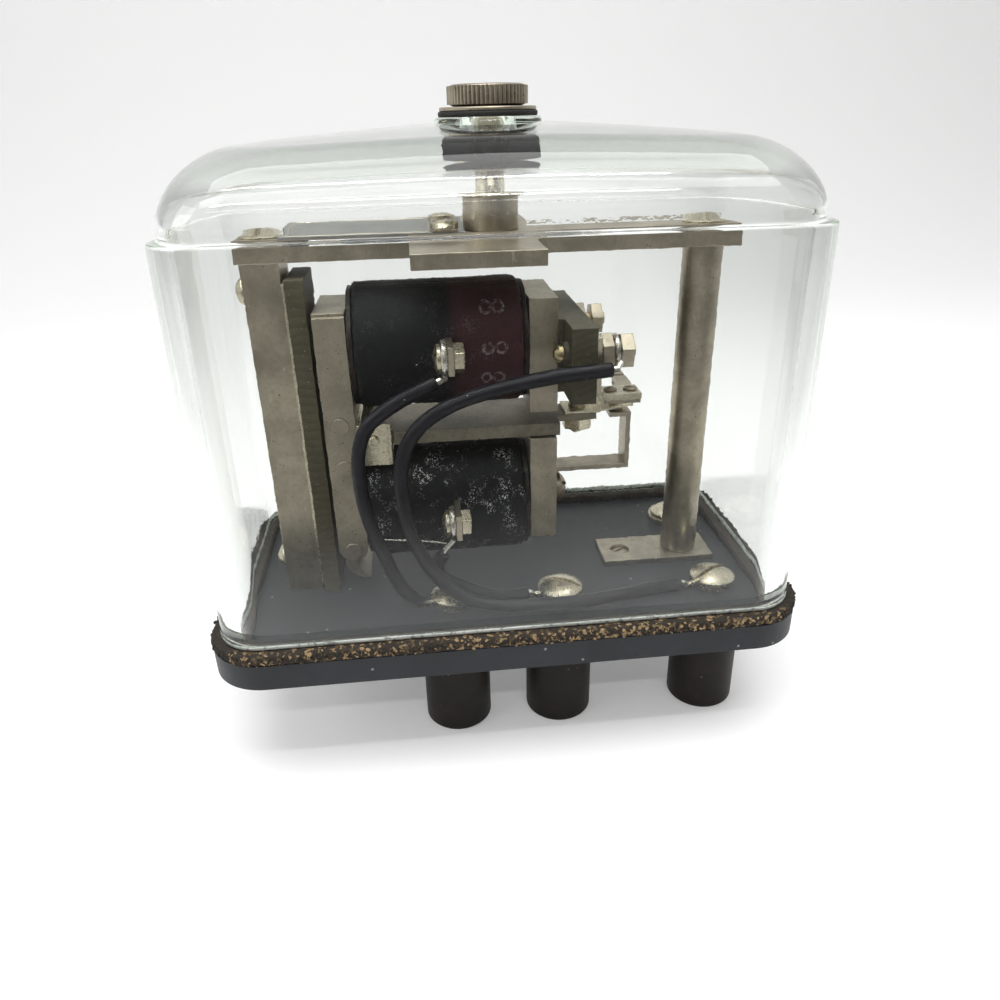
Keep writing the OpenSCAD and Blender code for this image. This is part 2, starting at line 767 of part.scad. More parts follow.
// The plate is cut out round the screw head at its left end
module nameplate() {
    color(etched_grey)
        difference() {
            translate([label_left, -label_front, plate_z]) cube([label_right - label_left, label_d, label_t]);
            translate([-upright_x, 0, plate_z - 1]) cylinder(d = plate_screw_d + 2 * run, h = label_t + 2);
            for (y = label_screw_ys)
                translate([label_screw_x, y, plate_z - 1]) cylinder(d = label_shank_d + 2 * fit, h = label_t + 2);
        }
}
label_front = bar_d / 2 + 0.5;
label_left = -upright_x + plate_screw_d / 2 - 0.7 + run;
label_right = -pillar_d / 2;
label_screw_x = label_right - 4.8;
label_screw_ys = [3 - label_front, label_d - label_front - 3];
label_shank_d = 2.6;
clamp_t = 0.7;
clamp_w = 6;

// A narrow strip under the nameplate's two screws
module nameplate_clamp() {
    color(nickel)
        difference() {
            translate([label_screw_x - clamp_w / 2, -label_front - 0.4, plate_z + label_t])
                cube([clamp_w, label_d, clamp_t]);
            for (y = label_screw_ys)
                translate([label_screw_x, y, plate_z]) cylinder(d = label_shank_d + 2 * fit, h = 4);
        }
}

module nameplate_screws() {
    color(brass)
        for (y = label_screw_ys)
            translate([label_screw_x, y, plate_z + label_t + clamp_t]) {
                slotted_head(6.6, 1.8, 1, 5);
                translate([0, 0, -label_t - clamp_t - 2.5]) cylinder(d = label_shank_d, h = label_t + clamp_t + 3);
            }
}

// Washers and thumb nut on the cover

module rubber_washer() {
    color(foot_black)
        translate([0, 0, boss_z])
            difference() {
                cylinder(d = rubber_d, h = rubber_t);
                translate([0, 0, -1]) cylinder(d = cover_hole_d, h = rubber_t + 2);
            }
}

module cap_washer() {
    color(nickel)
        translate([0, 0, rubber_z])
            difference() {
                cylinder(d = cap_washer_d, h = cap_washer_t);
                translate([0, 0, -1]) cylinder(d = cover_hole_d, h = cap_washer_t + 2);
            }
}

// Fluted nut with a plain bevel step at each face and a blind hole for the stud
module thumb_nut() {
    step = 360 / nut_flutes;
    flute = 0.45;
    lip = 0.6;
    outline = [
        for (k = [0 : nut_flutes - 1])
            each [
                (nut_d / 2) * [cos(k * step), sin(k * step)],
                (nut_d / 2 - flute) * [cos((k + 0.5) * step), sin((k + 0.5) * step)]
            ]
    ];
    color(nickel)
        translate([0, 0, nut_z])
            difference() {
                union() {
                    translate([0, 0, lip]) linear_extrude(nut_h - 2 * lip) polygon(outline);
                    cylinder(d = nut_d - 2 * flute - 0.4, h = nut_h);
                }
                translate([0, 0, -1]) cylinder(d = stud_d + 2 * fit, h = nut_h - nut_cap + 1);
            }
}

// Magnet

// Upper half of the yoke bar, plain, with bevelled top edges
module yoke_upper() {
    bevel = 0.9;
    color(nickel)
        difference() {
            union() {
                bar(yoke_left, yoke_right, mag_d, seam_z, yoke_top - bevel);
                bar(yoke_left, yoke_right, mag_d - 2 * bevel, yoke_top - bevel, yoke_top);
            }
            yoke_bores();
        }
}

// Lower half of the yoke bar, riveted, rounded at its foot
module yoke_lower() {
    r = yoke_t / 2 - 0.4;
    color(nickel)
        difference() {
            union() {
                bar(yoke_left, yoke_right, mag_d, yoke_bottom + r, seam_z);
                bar(yoke_left + r, yoke_right - r, mag_d, yoke_bottom, yoke_bottom + r + 1);
                for (x = [yoke_left + r, yoke_right - r])
                    along_y([x, -mag_d / 2, yoke_bottom + r]) cylinder(r = r, h = mag_d);
            }
            yoke_bores();
            for (z = rivet_zs)
                along_y([rivet_x, -mag_d, z]) cylinder(d = rivet_d + 2 * fit, h = 2 * mag_d);
        }
}
rivet_x = (yoke_left + yoke_right) / 2;

// Holes through the yoke for the two cores and the two mounting screws
module yoke_bores() {
    for (z = [coil_low_z, coil_high_z])
        along_x([yoke_left - 1, 0, z]) cylinder(d = core_shank_d + 2 * fit, h = yoke_t + 2);
    for (z = yoke_screw_zs)
        along_x([yoke_left - 1, 0, z]) cylinder(d = shank_d + 2 * fit, h = yoke_t + 2);
}

module yoke_rivets() {
    proud = 0.3;
    color(nickel)
        for (z = rivet_zs)
            along_y([rivet_x, -mag_d / 2 - proud, z]) cylinder(d = rivet_d, h = mag_d + 2 * proud);
}

module yoke_screws() {
    color(iron)
        for (z = yoke_screw_zs)
            along_x([strip_right, 0, z]) {
                cylinder(d = yoke_head_d, h = yoke_head_h);
                cylinder(d = shank_d, h = board_t + yoke_gap + yoke_t - 1);
            }
}

module yoke_spacers() {
    color(nickel)
        for (z = yoke_screw_zs)
            along_x([board_right, 0, z])
                difference() {
                    cylinder(d = 9, h = yoke_gap);
                    translate([0, 0, -1]) cylinder(d = shank_d + 2 * fit, h = yoke_gap + 2);
                }
}

// Curved claw under the foot of the yoke, thinner towards its tip
module yoke_lug() {
    outer_r = 5.6;
    inner_r = 6.3;
    x = yoke_left + 1.3;
    color(nickel)
        intersection() {
            difference() {
                along_y([x + outer_r, -mag_d / 2, yoke_bottom]) cylinder(r = outer_r, h = mag_d);
                along_y([x + outer_r + 3.8, -mag_d, yoke_bottom]) cylinder(r = inner_r, h = 2 * mag_d);
            }
            bar(x, x + outer_r + 0.7, mag_d, yoke_bottom - outer_r, yoke_bottom);
        }
}

// Iron core: a thick round bar, with a thin end through the yoke
module core(z) {
    color(iron) {
        along_x([yoke_right, 0, z]) difference() {
            cylinder(d = core_d, h = coil_l);
            translate([0, 0, coil_l - pole_screw_l]) cylinder(d = pole_screw_d + 2 * fit, h = pole_screw_l + 1);
        }
        along_x([yoke_left, 0, z]) cylinder(d = core_shank_d, h = yoke_t + 1);
    }
}
pole_screw_l = 9;
pole_screw_d = 3.6;

module upper_core() { core(coil_high_z); }
module lower_core() { core(coil_low_z); }

// Fibre bobbin: a sleeve on the core with a flange at each end
module bobbin(z) {
    end_gap = 0.3;
    l = coil_l - 2 * end_gap;
    color(fibre)
        along_x([yoke_right + end_gap, 0, z])
            difference() {
                union() {
                    cylinder(d = sleeve_d, h = l);
                    cylinder(d = coil_d - flange_step, h = flange_t);
                    translate([0, 0, l - flange_t]) cylinder(d = coil_d - flange_step, h = flange_t);
                }
                translate([0, 0, -1]) cylinder(d = core_d + 2 * fit, h = l + 2);
            }
}
sleeve_d = core_d + 2.4;
flange_step = 2.4;

module upper_bobbin() { bobbin(coil_high_z); }
module lower_bobbin() { bobbin(coil_low_z); }

// Winding under its tape: the turns don't show, only the round taped body, worn at its ends and slit for the tab
module winding(z, tint) {
    start = 0.3 + flange_t + fit;
    l = coil_l - 2 * start;
    ease = 0.8;
    color(tint)
        difference() {
            along_x([yoke_right + start, 0, z]) {
                cylinder(d1 = coil_d - 2 * ease, d2 = coil_d, h = ease);
                translate([0, 0, ease]) cylinder(d = coil_d, h = l - 2 * ease);
                translate([0, 0, l - ease]) cylinder(d1 = coil_d, d2 = coil_d - 2 * ease, h = ease);
            }
            along_x([yoke_right, 0, z]) cylinder(d = sleeve_d + 2 * fit, h = coil_l);
            translate([tab_x - fit, -coil_d, z + terminal_rise - tab_h / 2 - fit])
                cube([tab_t + 2 * fit, coil_d - tab_root, tab_h + 2 * fit]);
        }
}

module upper_winding() { winding(coil_high_z, tape_maroon); }
module lower_winding() { winding(coil_low_z, tape); }

// Flat tabs that stand out of the windings and carry the coil terminals
module coil_tabs() {
    front = -terminal_y + tab_reach;
    color(nickel)
        for (z = terminal_zs)
            difference() {
                translate([tab_x, -front, z - tab_h / 2]) cube([tab_t, front - tab_root, tab_h]);
                along_x([tab_x - 1, terminal_y, z]) cylinder(d = coil_shank_d + 2 * fit, h = tab_t + 2);
            }
}
coil_shank_d = 4;
coil_nut_af = 6.35;
coil_nut_t = 2.4;
coil_head_x = tab_x - wire_d - 2 * loop_lift;

module coil_terminal_screws() {
    color(pale_nickel)
        for (z = terminal_zs) {
            translate([coil_head_x, terminal_y, z]) rotate([0, -90, 0]) slotted_head(coil_head_d, coil_head_h, 1.1, 0);
            along_x([coil_head_x, terminal_y, z])
                cylinder(d = coil_shank_d, h = tab_x + tab_t + coil_nut_t + 0.15 - coil_head_x);
        }
}

module coil_terminal_nuts() {
    color(brass)
        for (z = terminal_zs)
            along_x([tab_x + tab_t, terminal_y, z]) hex_nut(coil_nut_af, coil_nut_t, coil_shank_d + 2 * fit);
}

module upper_pole() {
    color(nickel)
        difference() {
            bar(pole_left, pole_right, mag_d, pole_high_bottom, pole_high_bottom + pole_h);
            pole_bore(coil_high_z);
            along_x([pole_right - sunk_h, 0, coil_high_z]) cylinder(d = sunk_d + 2 * fit, h = 4);
            for (y = block_screw_ys)
                along_x([pole_left + 2, y, block_screw_z]) cylinder(d = block_shank_d + 2 * fit, h = pole_t);
        }
}
sunk_d = 6.4;
sunk_h = 1.6;
block_screw_ys = [-7.5, 7.5];
block_screw_z = block_z + block_h - 5;
block_shank_d = 3;
block_sunk_d = 5.5;
pole_head_d = 8.4;
pole_head_h = 3.4;

module pole_bore(z) {
    along_x([pole_left - 1, 0, z]) cylinder(d = pole_screw_d + 2 * fit, h = pole_t + 2);
}

module lower_pole() {
    color(nickel)
        difference() {
            bar(pole_left, pole_right, mag_d, pole_low_top - pole_h, pole_low_top);
            pole_bore(coil_low_z);
        }
}

// The upper screw is sunk flush in its pole plate, the lower one clamps the stop strip
module pole_screws() {
    color(nickel) {
        along_x([pole_right - sunk_h, 0, coil_high_z]) cylinder(d = sunk_d, h = sunk_h);
        along_x([pole_right - pole_t - pole_screw_l + 1, 0, coil_high_z])
            cylinder(d = pole_screw_d, h = pole_t + pole_screw_l - 1.5);
        along_x([pole_right + stop_t, 0, coil_low_z]) slotted_head(pole_head_d, pole_head_h, 1, 50);
        along_x([pole_right - pole_t - pole_screw_l + 1, 0, coil_low_z])
            cylinder(d = pole_screw_d, h = pole_t + pole_screw_l + stop_t - 0.5);
    }
}

// Armature and its pivot

// Folded strap on the yoke: two cheeks that carry the pin, and a low web in front of them
module pivot_strap() {
    x0 = yoke_right;
    x1 = yoke_right + strap_l;
    z0 = tongue_z - strap_low;
    z1 = tongue_top + strap_high - tongue_t;
    web_top = tongue_z - 1.5;
    color(pale_nickel)
        difference() {
            union() {
                for (s = [-1, 1])
                    translate([x0, s * (strap_d - strap_t) / 2 - strap_t / 2, z0])
                        cube([x1 - strap_t - x0, strap_t, z1 - z0]);
                bar(x0, x0 + strap_t, strap_d, z0, z1);
                bar(x1 - strap_t, x1, strap_d - 2 * strap_t, z0, web_top);
                for (s = [-1, 1])
                    translate([x1 - strap_t, s * (strap_d / 2 - strap_t), z0])
                        intersection() {
                            cylinder(r = strap_t, h = z1 - z0);
                            translate([0, s > 0 ? 0 : -strap_t, 0]) cube([strap_t, strap_t, z1 - z0]);
                        }
            }
            along_y([pivot_x, -strap_d, pivot_z]) cylinder(d = pin_d + 2 * fit, h = 2 * strap_d);
            along_x([x0 - 1, 0, coil_low_z]) cylinder(d = coil_d + 2 * run, h = strap_l + 2);
        }
}

module pivot_pin() {
    color(pale_nickel)
        along_y([pivot_x, -strap_d / 2 - 0.8, pivot_z]) cylinder(d = pin_d, h = strap_d + 1.6);
}

// Armature: a knuckle on the pin, a broad tongue between the coils, a narrow end past the poles
module armature() {
    neck_end = yoke_right + strap_l + 0.4;
    arm_start = pole_right + 1;
    color(nickel)
        difference() {
            union() {
                bar(pivot_x, neck_end + 1, neck_d, tongue_z, tongue_top);
                along_y([pivot_x, -neck_d / 2, pivot_z]) cylinder(d = knuckle_d, h = neck_d);
                bar(neck_end, arm_start, tongue_d, tongue_z, tongue_top);
                bar(arm_start - 1, arm_end, arm_w, tongue_top - arm_t, tongue_top);
            }
            along_y([pivot_x, -strap_d, pivot_z]) cylinder(d = pin_d + 2 * fit, h = 2 * strap_d);
            translate([clamp_x, 0, tongue_z - 1]) cylinder(d = clamp_shank_d + 2 * fit, h = tongue_t + 2);
        }
}
clamp_shank_d = 3;
clamp_head_d = 4.8;
clamp_head_h = 2.2;
clamp_nut_af = 7.2;
clamp_nut_t = 3.2;
clamp_nut_z = tongue_top - arm_t - clamp_nut_t;

module clamp_screw() {
    past = 1.2;
    color(pale_nickel) {
        translate([clamp_x, 0, tongue_top + leaf_t]) slotted_head(clamp_head_d, clamp_head_h, 1, 70);
        translate([clamp_x, 0, clamp_nut_z - past])
            cylinder(d = clamp_shank_d, h = tongue_top + leaf_t + 0.2 - clamp_nut_z + past);
    }
}

module clamp_nut() {
    color(pale_nickel)
        translate([clamp_x, 0, clamp_nut_z]) rotate(30) hex_nut(clamp_nut_af, clamp_nut_t, clamp_shank_d + 2 * fit);
}

// Spring leaf on the armature's end, with the contact rivet at its tip
module moving_contact() {
    side = [
        [clamp_x - leaf_tail, tongue_top], [leaf_bend, tongue_top], [leaf_end, tongue_top + leaf_rise],
        [leaf_end, tongue_top + leaf_rise + leaf_t], [leaf_bend, tongue_top + leaf_t],
        [clamp_x - leaf_tail, tongue_top + leaf_t]
    ];
    color(pale_nickel)
        difference() {
            union() {
                translate([0, leaf_w / 2, 0]) rotate([90, 0, 0]) linear_extrude(leaf_w) polygon(side);
                translate([touch_x, 0, touch_z - touch_head]) cylinder(d = touch_d, h = leaf_t + 2 * touch_head);
            }
            translate([clamp_x, 0, tongue_top - 1]) cylinder(d = clamp_shank_d + 2 * fit, h = 3);
        }
}
leaf_w = arm_w;

// Contact block and what it carries

// The block, a packing sheet between it and the pole plate, and a bushing under each bolt head
module contact_block() {
    color(fibre) {
        difference() {
            union() {
                bar(block_left, block_right, block_d, block_z, block_z + block_h);
                bar(pole_right, block_left + 1, mag_d, block_z, block_z + block_h);
            }
            for (s = [-1, 1])
                along_x([block_left - 1, s * bolt_y, bolt_z]) cylinder(d = bolt_d + 2 * fit, h = block_t + 2);
            for (y = block_screw_ys) {
                along_x([pole_right - 1, y, block_screw_z])
                    cylinder(d = block_shank_d + 2 * fit, h = block_gap + block_t);
                along_x([block_right - 2, y, block_screw_z]) cylinder(d = block_sunk_d + 2 * fit, h = 3);
            }
        }
        for (s = [-1, 1])
            along_x([block_left - bushing_t, s * bolt_y, bolt_z])
                difference() {
                    cylinder(d = bushing_d, h = bushing_t);
                    translate([0, 0, -1]) cylinder(d = bolt_d + 2 * fit, h = bushing_t + 2);
                }
    }
}

// Two sunk screws hold the block on the upper pole plate
module block_screws() {
    color(nickel)
        for (y = block_screw_ys) {
            along_x([block_right - 2, y, block_screw_z]) cylinder(d = block_sunk_d, h = 1.9);
            along_x([pole_left + 2.5, y, block_screw_z]) cylinder(d = block_shank_d, h = block_right - pole_left - 4);
        }
}

module contact_bolts() {
    left = block_left - bushing_t;
    color(brass)
        for (s = [-1, 1]) {
            translate([left, s * bolt_y, bolt_z]) rotate([0, -90, 0]) slotted_head(head_d, head_h, 1.1, 0);
            along_x([left - 0.5, s * bolt_y, bolt_z]) cylinder(d = bolt_d, h = bolt_end - left + 0.5);
        }
}

module contact_nuts() {
    color(pale_nickel)
        for (s = [-1, 1]) {
            along_x([bolt_nut_x, s * bolt_y, bolt_z]) hex_nut(hex_af, nut_in_t, bolt_d + 2 * fit);
            along_x([nut_out_x, s * bolt_y, bolt_z]) rotate(15) hex_nut(hex_af, nut_out_t, bolt_d + 2 * fit);
        }
}

// Bent brackets clamped on the block: an upright leaf round the bolt and a foot with two screws
module contact_brackets() {
    bend = bracket_t + 1;
    x0 = bracket_left;
    z0 = bracket_z;
    color(pale_nickel)
        for (s = [-1, 1])
            translate([0, s * bolt_y, 0])
                difference() {
                    union() {
                        bar(x0, x0 + bracket_t, bracket_w, z0 + bend, z0 + bracket_h);
                        translate([x0 + bend, bracket_w / 2, z0 + bend])
                            rotate([90, 0, 0])
                                difference() {
                                    cylinder(r = bend, h = bracket_w);
                                    translate([0, 0, -1]) cylinder(r = bend - bracket_t, h = bracket_w + 2);
                                    translate([0, -bend - 1, -1]) cube([2 * bend, 3 * bend, bracket_w + 2]);
                                    translate([-bend - 1, 0, -1]) cube([3 * bend, 2 * bend, bracket_w + 2]);
                                }
                        bar(x0 + bend, bracket_right, bracket_w, z0, z0 + bracket_t);
                    }
                    along_x([x0 - 1, 0, bolt_z]) cylinder(d = bolt_d + 2 * fit, h = bracket_t + 2);
                    for (x = screw_xs)
                        translate([x, 0, z0 - 1]) cylinder(d = 2 + 2 * fit, h = bracket_t + 2);
                }
}
bracket_right = bracket_left + bracket_reach;

// Leaves under the two brackets, each with its screws and a tip above the moving contact
module fixed_contacts() {
    z0 = bracket_z - fixed_leaf_t;
    front = bolt_y + bracket_w / 2 - 0.2;
    left = screw_xs[0] - 1.8;
    right = bracket_right - 0.2;
    inner = 0.6;
    half = 1.8;
    plan = [
        [left, -front], [right, -front], [right, -bolt_y + 2], [touch_x + half, -6],
        [touch_x + half, -inner], [touch_x - half, -inner], [touch_x - half, -6], [left, -bolt_y + 3]
    ];
    color(brass)
        for (s = [0, 1])
            mirror([0, s, 0]) {
                translate([0, 0, z0]) linear_extrude(fixed_leaf_t) polygon(plan);
                translate([touch_x, -tip_y, tip_z]) cylinder(d = tip_d, h = z0 - tip_z + 0.1);
                for (x = screw_xs) {
                    translate([x, -bolt_y, z0 - 0.6]) cylinder(d = 2, h = fixed_leaf_t + bracket_t + 0.8);
                    translate([x, -bolt_y, bracket_z + bracket_t]) slotted_head(3.4, 0.8, 0.7, 20);
                }
            }
}

// Strip bent four times: under the lower pole screw, out, up, and back in under the moving contact
module stop_strip() {
    low = stop_leg_z;
    lip = stop_lip_z;
    side = [
        [pole_right, stop_foot_z], [pole_right + stop_t, stop_foot_z], [pole_right + stop_t, low],
        [stop_x, low], [stop_x, lip], [touch_x - 2.6, lip], [touch_x - 2.6, lip - stop_t],
        [stop_x - stop_t, lip - stop_t], [stop_x - stop_t, low + stop_t], [pole_right, low + stop_t]
    ];
    color(nickel)
        difference() {
            union() {
                translate([0, stop_w / 2, 0]) rotate([90, 0, 0]) linear_extrude(stop_w) polygon(side);
                translate([touch_x, 0, lip]) cylinder(d = 3.6, h = stop_button);
            }
            along_x([pole_right - 1, 0, coil_low_z]) cylinder(d = pole_screw_d + 2 * fit, h = stop_t + 2);
        }
}

// Wiring

// An open eye of bare wire, flat on z = 0
module eye(r, turn) {
    translate([0, 0, wire_d / 2]) rotate(turn) rotate_extrude(angle = 320) translate([r, 0]) circle(d = wire_d, $fn = 24);
}

// Where a bare end leaves its lead: just past the lead's end, on the line of the lead
function stub(route, last, reach) =
    let (i = last ? len(route) - 1 : 0) route[i] + (last ? reach : -reach) * heading(route, i);

// Bare end from the foot of a lead to the eye under a terminal screw on the base
module base_wire(p, route) {
    loop_z = deck + loop_lift + wire_d / 2;
    knee = stub(route, true, 2.2);
    translate([p.x, p.y, deck + loop_lift]) eye(base_loop_r, 180);
    tube([
        [p.x - base_loop_r, p.y, loop_z], [knee.x, knee.y, loop_z], stub(route, true, 1), route[len(route) - 1]
    ], wire_d, wire_sides);
}

// Bare end from the eye on a coil terminal to the head of its lead
module coil_wire(z, route) {
    x = tab_x - wire_d / 2 - loop_lift;
    low = z - coil_loop_r;
    along_x([tab_x - wire_d - loop_lift, terminal_y, z]) eye(coil_loop_r, 0);
    tube([[x, terminal_y, low], [x, terminal_y - 0.5, low - 1.1], stub(route, false, 1), route[0]], wire_d, wire_sides);
}

// Eyes under the front terminal screws, on the coil terminals and on the front contact bolt
module bare_wires() {
    routes = [upper_lead_route, lower_lead_route, contact_lead_route];
    bolt_wire_x = loop_x + loop_lift + wire_d / 2;
    dip = 20;
    leave = [bolt_wire_x, -bolt_y - bolt_loop_r * cos(dip), bolt_z - bolt_loop_r * sin(dip)];
    color(copper) {
        for (i = [0 : 2]) base_wire(front_studs[i], routes[i]);
        coil_wire(terminal_zs[1], upper_lead_route);
        coil_wire(terminal_zs[0], lower_lead_route);
        along_x([loop_x + loop_lift, -bolt_y, bolt_z]) eye(bolt_loop_r, 40);
        tube([
            leave, leave - [0, 2.7, 0.2], stub(contact_lead_route, false, 1.2), contact_lead_route[0]
        ], wire_d, wire_sides);
    }
}
bolt_loop_r = 3.5;

module coil_leads() {
    color(lead_black) {
        tube(upper_lead_route, lead_d, lead_sides);
        tube(lower_lead_route, lead_d, lead_sides);
    }
}

module contact_lead() {
    color(lead_black) tube(contact_lead_route, lead_d, lead_sides);
}

base_plate();
cork_gasket();
insulating_feet();
foot_inserts();
terminal_screws();
terminal_washers();
frame_bolts();
upright();
board_strip();
insulating_board();
board_screws();
post_foot();
round_post();
foot_screw();
top_plate();
top_plate_screws();
cover_pillar();
pillar_collar();
cover_stud();
nameplate();
nameplate_clamp();
nameplate_screws();
glass_cover();
rubber_washer();
cap_washer();
thumb_nut();
yoke_upper();
yoke_lower();
yoke_rivets();
yoke_screws();
yoke_spacers();
yoke_lug();
upper_core();
lower_core();
upper_bobbin();
lower_bobbin();
upper_winding();
lower_winding();
coil_tabs();
coil_terminal_screws();
coil_terminal_nuts();
upper_pole();
lower_pole();
pole_screws();
pivot_strap();
pivot_pin();
armature();
clamp_screw();
clamp_nut();
moving_contact();
contact_block();
block_screws();
contact_bolts();
contact_nuts();
contact_brackets();
fixed_contacts();
stop_strip();
bare_wires();
coil_leads();
contact_lead();
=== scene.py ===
# Auxiliary relay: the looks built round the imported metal, glass and fibre parts

import math

import bmesh
import bpy
from mathutils import Matrix, Vector, noise


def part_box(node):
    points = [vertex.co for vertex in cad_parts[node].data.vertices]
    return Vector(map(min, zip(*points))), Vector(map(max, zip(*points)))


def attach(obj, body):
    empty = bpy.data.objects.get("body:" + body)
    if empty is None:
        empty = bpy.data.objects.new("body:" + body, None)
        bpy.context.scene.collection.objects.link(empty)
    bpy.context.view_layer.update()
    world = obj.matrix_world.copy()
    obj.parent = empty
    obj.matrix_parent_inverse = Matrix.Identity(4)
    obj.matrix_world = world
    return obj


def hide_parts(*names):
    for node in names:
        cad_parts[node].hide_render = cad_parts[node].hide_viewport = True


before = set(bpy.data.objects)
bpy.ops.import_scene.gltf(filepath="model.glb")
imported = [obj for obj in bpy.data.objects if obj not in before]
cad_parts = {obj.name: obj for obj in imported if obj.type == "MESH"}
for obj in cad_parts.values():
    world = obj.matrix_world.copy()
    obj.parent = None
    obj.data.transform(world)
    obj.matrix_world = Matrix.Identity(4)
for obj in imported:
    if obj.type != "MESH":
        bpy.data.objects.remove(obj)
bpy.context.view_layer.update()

bl_info = {
    "name": "Auxiliary Relay",
    "version": (1, 0, 0),
    "blender": (4, 5, 0),
    "location": "View3D > Sidebar > Relay",
    "description": "Builds the finished surfaces of a glass-covered two-coil relay",
    "category": "Object",
}

MM = 0.001

# Box corners of the parts that set the sizes, in metres
GLASS_LOW, GLASS_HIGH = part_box("glass_cover")
GASKET_LOW, GASKET_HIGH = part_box("cork_gasket")
NUT_LOW, NUT_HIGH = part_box("thumb_nut")
UPPER_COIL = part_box("upper_winding")
LOWER_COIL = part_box("lower_winding")
LABEL_LOW, LABEL_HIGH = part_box("nameplate")

# Routes of the sleeved leads, in millimetres, as the solid leads have them
UPPER_LEAD = [
    (-15.6, -22, 100.3), (-19.2, -22.4, 98.8), (-23.4, -22.4, 96.9), (-28, -22.2, 94.2),
    (-31.9, -22, 91.1), (-34.4, -22, 87.1), (-35.7, -22, 81.6), (-35.8, -22, 75.2),
    (-35.2, -22, 68.8), (-33.8, -22, 62.3), (-31.9, -22, 55.9), (-29.7, -22, 49.4),
    (-27.4, -22, 44.6), (-24.8, -21.6, 41.6), (-23.2, -21.2, 39.9),
]
LOWER_LEAD = [
    (-16.5, -22, 54.7), (-18, -22.2, 51.5), (-17.2, -22.6, 47.9), (-12.5, -22.9, 45.3),
    (-6, -22.8, 41.9), (0, -22.2, 40.2), (5.4, -20.8, 39.85),
]
CONTACT_LEAD = [
    (25.4, -24.6, 102), (19, -25.4, 101.8), (13, -26, 101.6), (3.6, -26, 100.2), (-4.6, -26, 98.5),
    (-11.8, -26, 96.2), (-17.8, -26, 93.1), (-22, -26, 89.1), (-24.5, -26, 84.5), (-25.6, -26, 78.6),
    (-25.6, -26, 71.9), (-24.7, -26, 64.9), (-22.4, -26, 57.5), (-18.8, -26, 50.8), (-14, -26.5, 45.4),
    (-8, -27.2, 42.2), (0, -28, 41), (8, -28.4, 40.9), (14.5, -28.4, 40.9), (21, -28, 40.8),
    (30, -26, 40.5), (40, -23, 40), (47.4, -21.6, 39.85),
]
FINE_WIRE = [(-14.8, -21.5, 56.9), (-18.5, -18.9, 56.4), (-25, -16.8, 56.2), (-31.5, -16.0, 56.4)]

# Terminals on the base: place in millimetres, and turn of the slot in degrees
TERMINALS = [(-14.5, -20, 10), (14.5, -20, -20), (57, -20, 25), (57, 20, 60), (-57, 20, 0)]
TERMINAL_D, TERMINAL_H, TERMINAL_SLOT = 12 * MM, 3.4 * MM, 1.3 * MM


# Settings that a user would change

class RelayGlassSettings(bpy.types.PropertyGroup):
    wall: bpy.props.FloatProperty(
        name="Wall", description="Thickness of the glass sides", default=3.6 * MM, unit="LENGTH")
    top: bpy.props.FloatProperty(
        name="Top", description="Thickness of the glass round the stud hole", default=5.7 * MM, unit="LENGTH")
    arc_rise: bpy.props.FloatProperty(
        name="Inner Arc Rise", description="Height above the ledge where the inside starts to curve in",
        default=2.7 * MM, unit="LENGTH")
    arc_in: bpy.props.FloatProperty(
        name="Inner Arc Depth", description="How far the inside curves in under the dome", default=8 * MM,
        unit="LENGTH")
    edge_round: bpy.props.FloatProperty(
        name="Edge Rounding", description="Radius of the glass edges at ledge and rim", default=0.6 * MM,
        unit="LENGTH")
    tint: bpy.props.FloatVectorProperty(
        name="Tint", description="Colour that deep glass gives to light", default=(0.74, 0.81, 0.73),
        size=3, subtype="COLOR", min=0, max=1)


class RelayMetalSettings(bpy.types.PropertyGroup):
    edge: bpy.props.FloatProperty(
        name="Edge", description="Rounding of the machined edges", default=0.22 * MM, unit="LENGTH")
    nickel: bpy.props.FloatVectorProperty(
        name="Nickel", description="Colour of the aged nickel plate", default=(0.47, 0.415, 0.325),
        size=3, subtype="COLOR", min=0, max=1)
    bright: bpy.props.FloatVectorProperty(
        name="Bright Nickel", description="Colour of the small bright fittings", default=(0.66, 0.60, 0.46),
        size=3, subtype="COLOR", min=0, max=1)
    brass: bpy.props.FloatVectorProperty(
        name="Brass", description="Colour of the dulled brass", default=(0.56, 0.46, 0.27),
        size=3, subtype="COLOR", min=0, max=1)
    flutes: bpy.props.IntProperty(
        name="Flutes", description="Number of flutes round the thumb nut", default=56, min=20, max=90)


class RelayCoilSettings(bpy.types.PropertyGroup):
    tape: bpy.props.FloatVectorProperty(
        name="Tape", description="Colour of the varnished tape", default=(0.004, 0.0044, 0.005),
        size=3, subtype="COLOR", min=0, max=1)
    maroon: bpy.props.FloatVectorProperty(
        name="Maroon", description="Colour of the upper coil's other end", default=(0.040, 0.012, 0.014),
        size=3, subtype="COLOR", min=0, max=1)
    fuzz: bpy.props.IntProperty(
        name="Fuzz", description="Loose threads on each coil's tape", default=900, min=0, max=3000)


class RelayLeadSettings(bpy.types.PropertyGroup):
    across: bpy.props.FloatProperty(
        name="Diameter", description="Diameter of the sleeved leads", default=3.5 * MM, unit="LENGTH")
    sleeve: bpy.props.FloatVectorProperty(
        name="Sleeve", description="Colour of the sleeving", default=(0.004, 0.0034, 0.006),
        size=3, subtype="COLOR", min=0, max=1)


class RelayBaseSettings(bpy.types.PropertyGroup):
    enamel: bpy.props.FloatVectorProperty(
        name="Enamel", description="Colour of the base", default=(0.011, 0.0125, 0.0155),
        size=3, subtype="COLOR", min=0, max=1)
    cork: bpy.props.FloatVectorProperty(
        name="Cork", description="Colour of the cork's dark grains", default=(0.020, 0.015, 0.010),
        size=3, subtype="COLOR", min=0, max=1)
    grains: bpy.props.IntProperty(
        name="Grains", description="Cork grains that stand out of the gasket's edge", default=1500, min=0,
        max=5000)


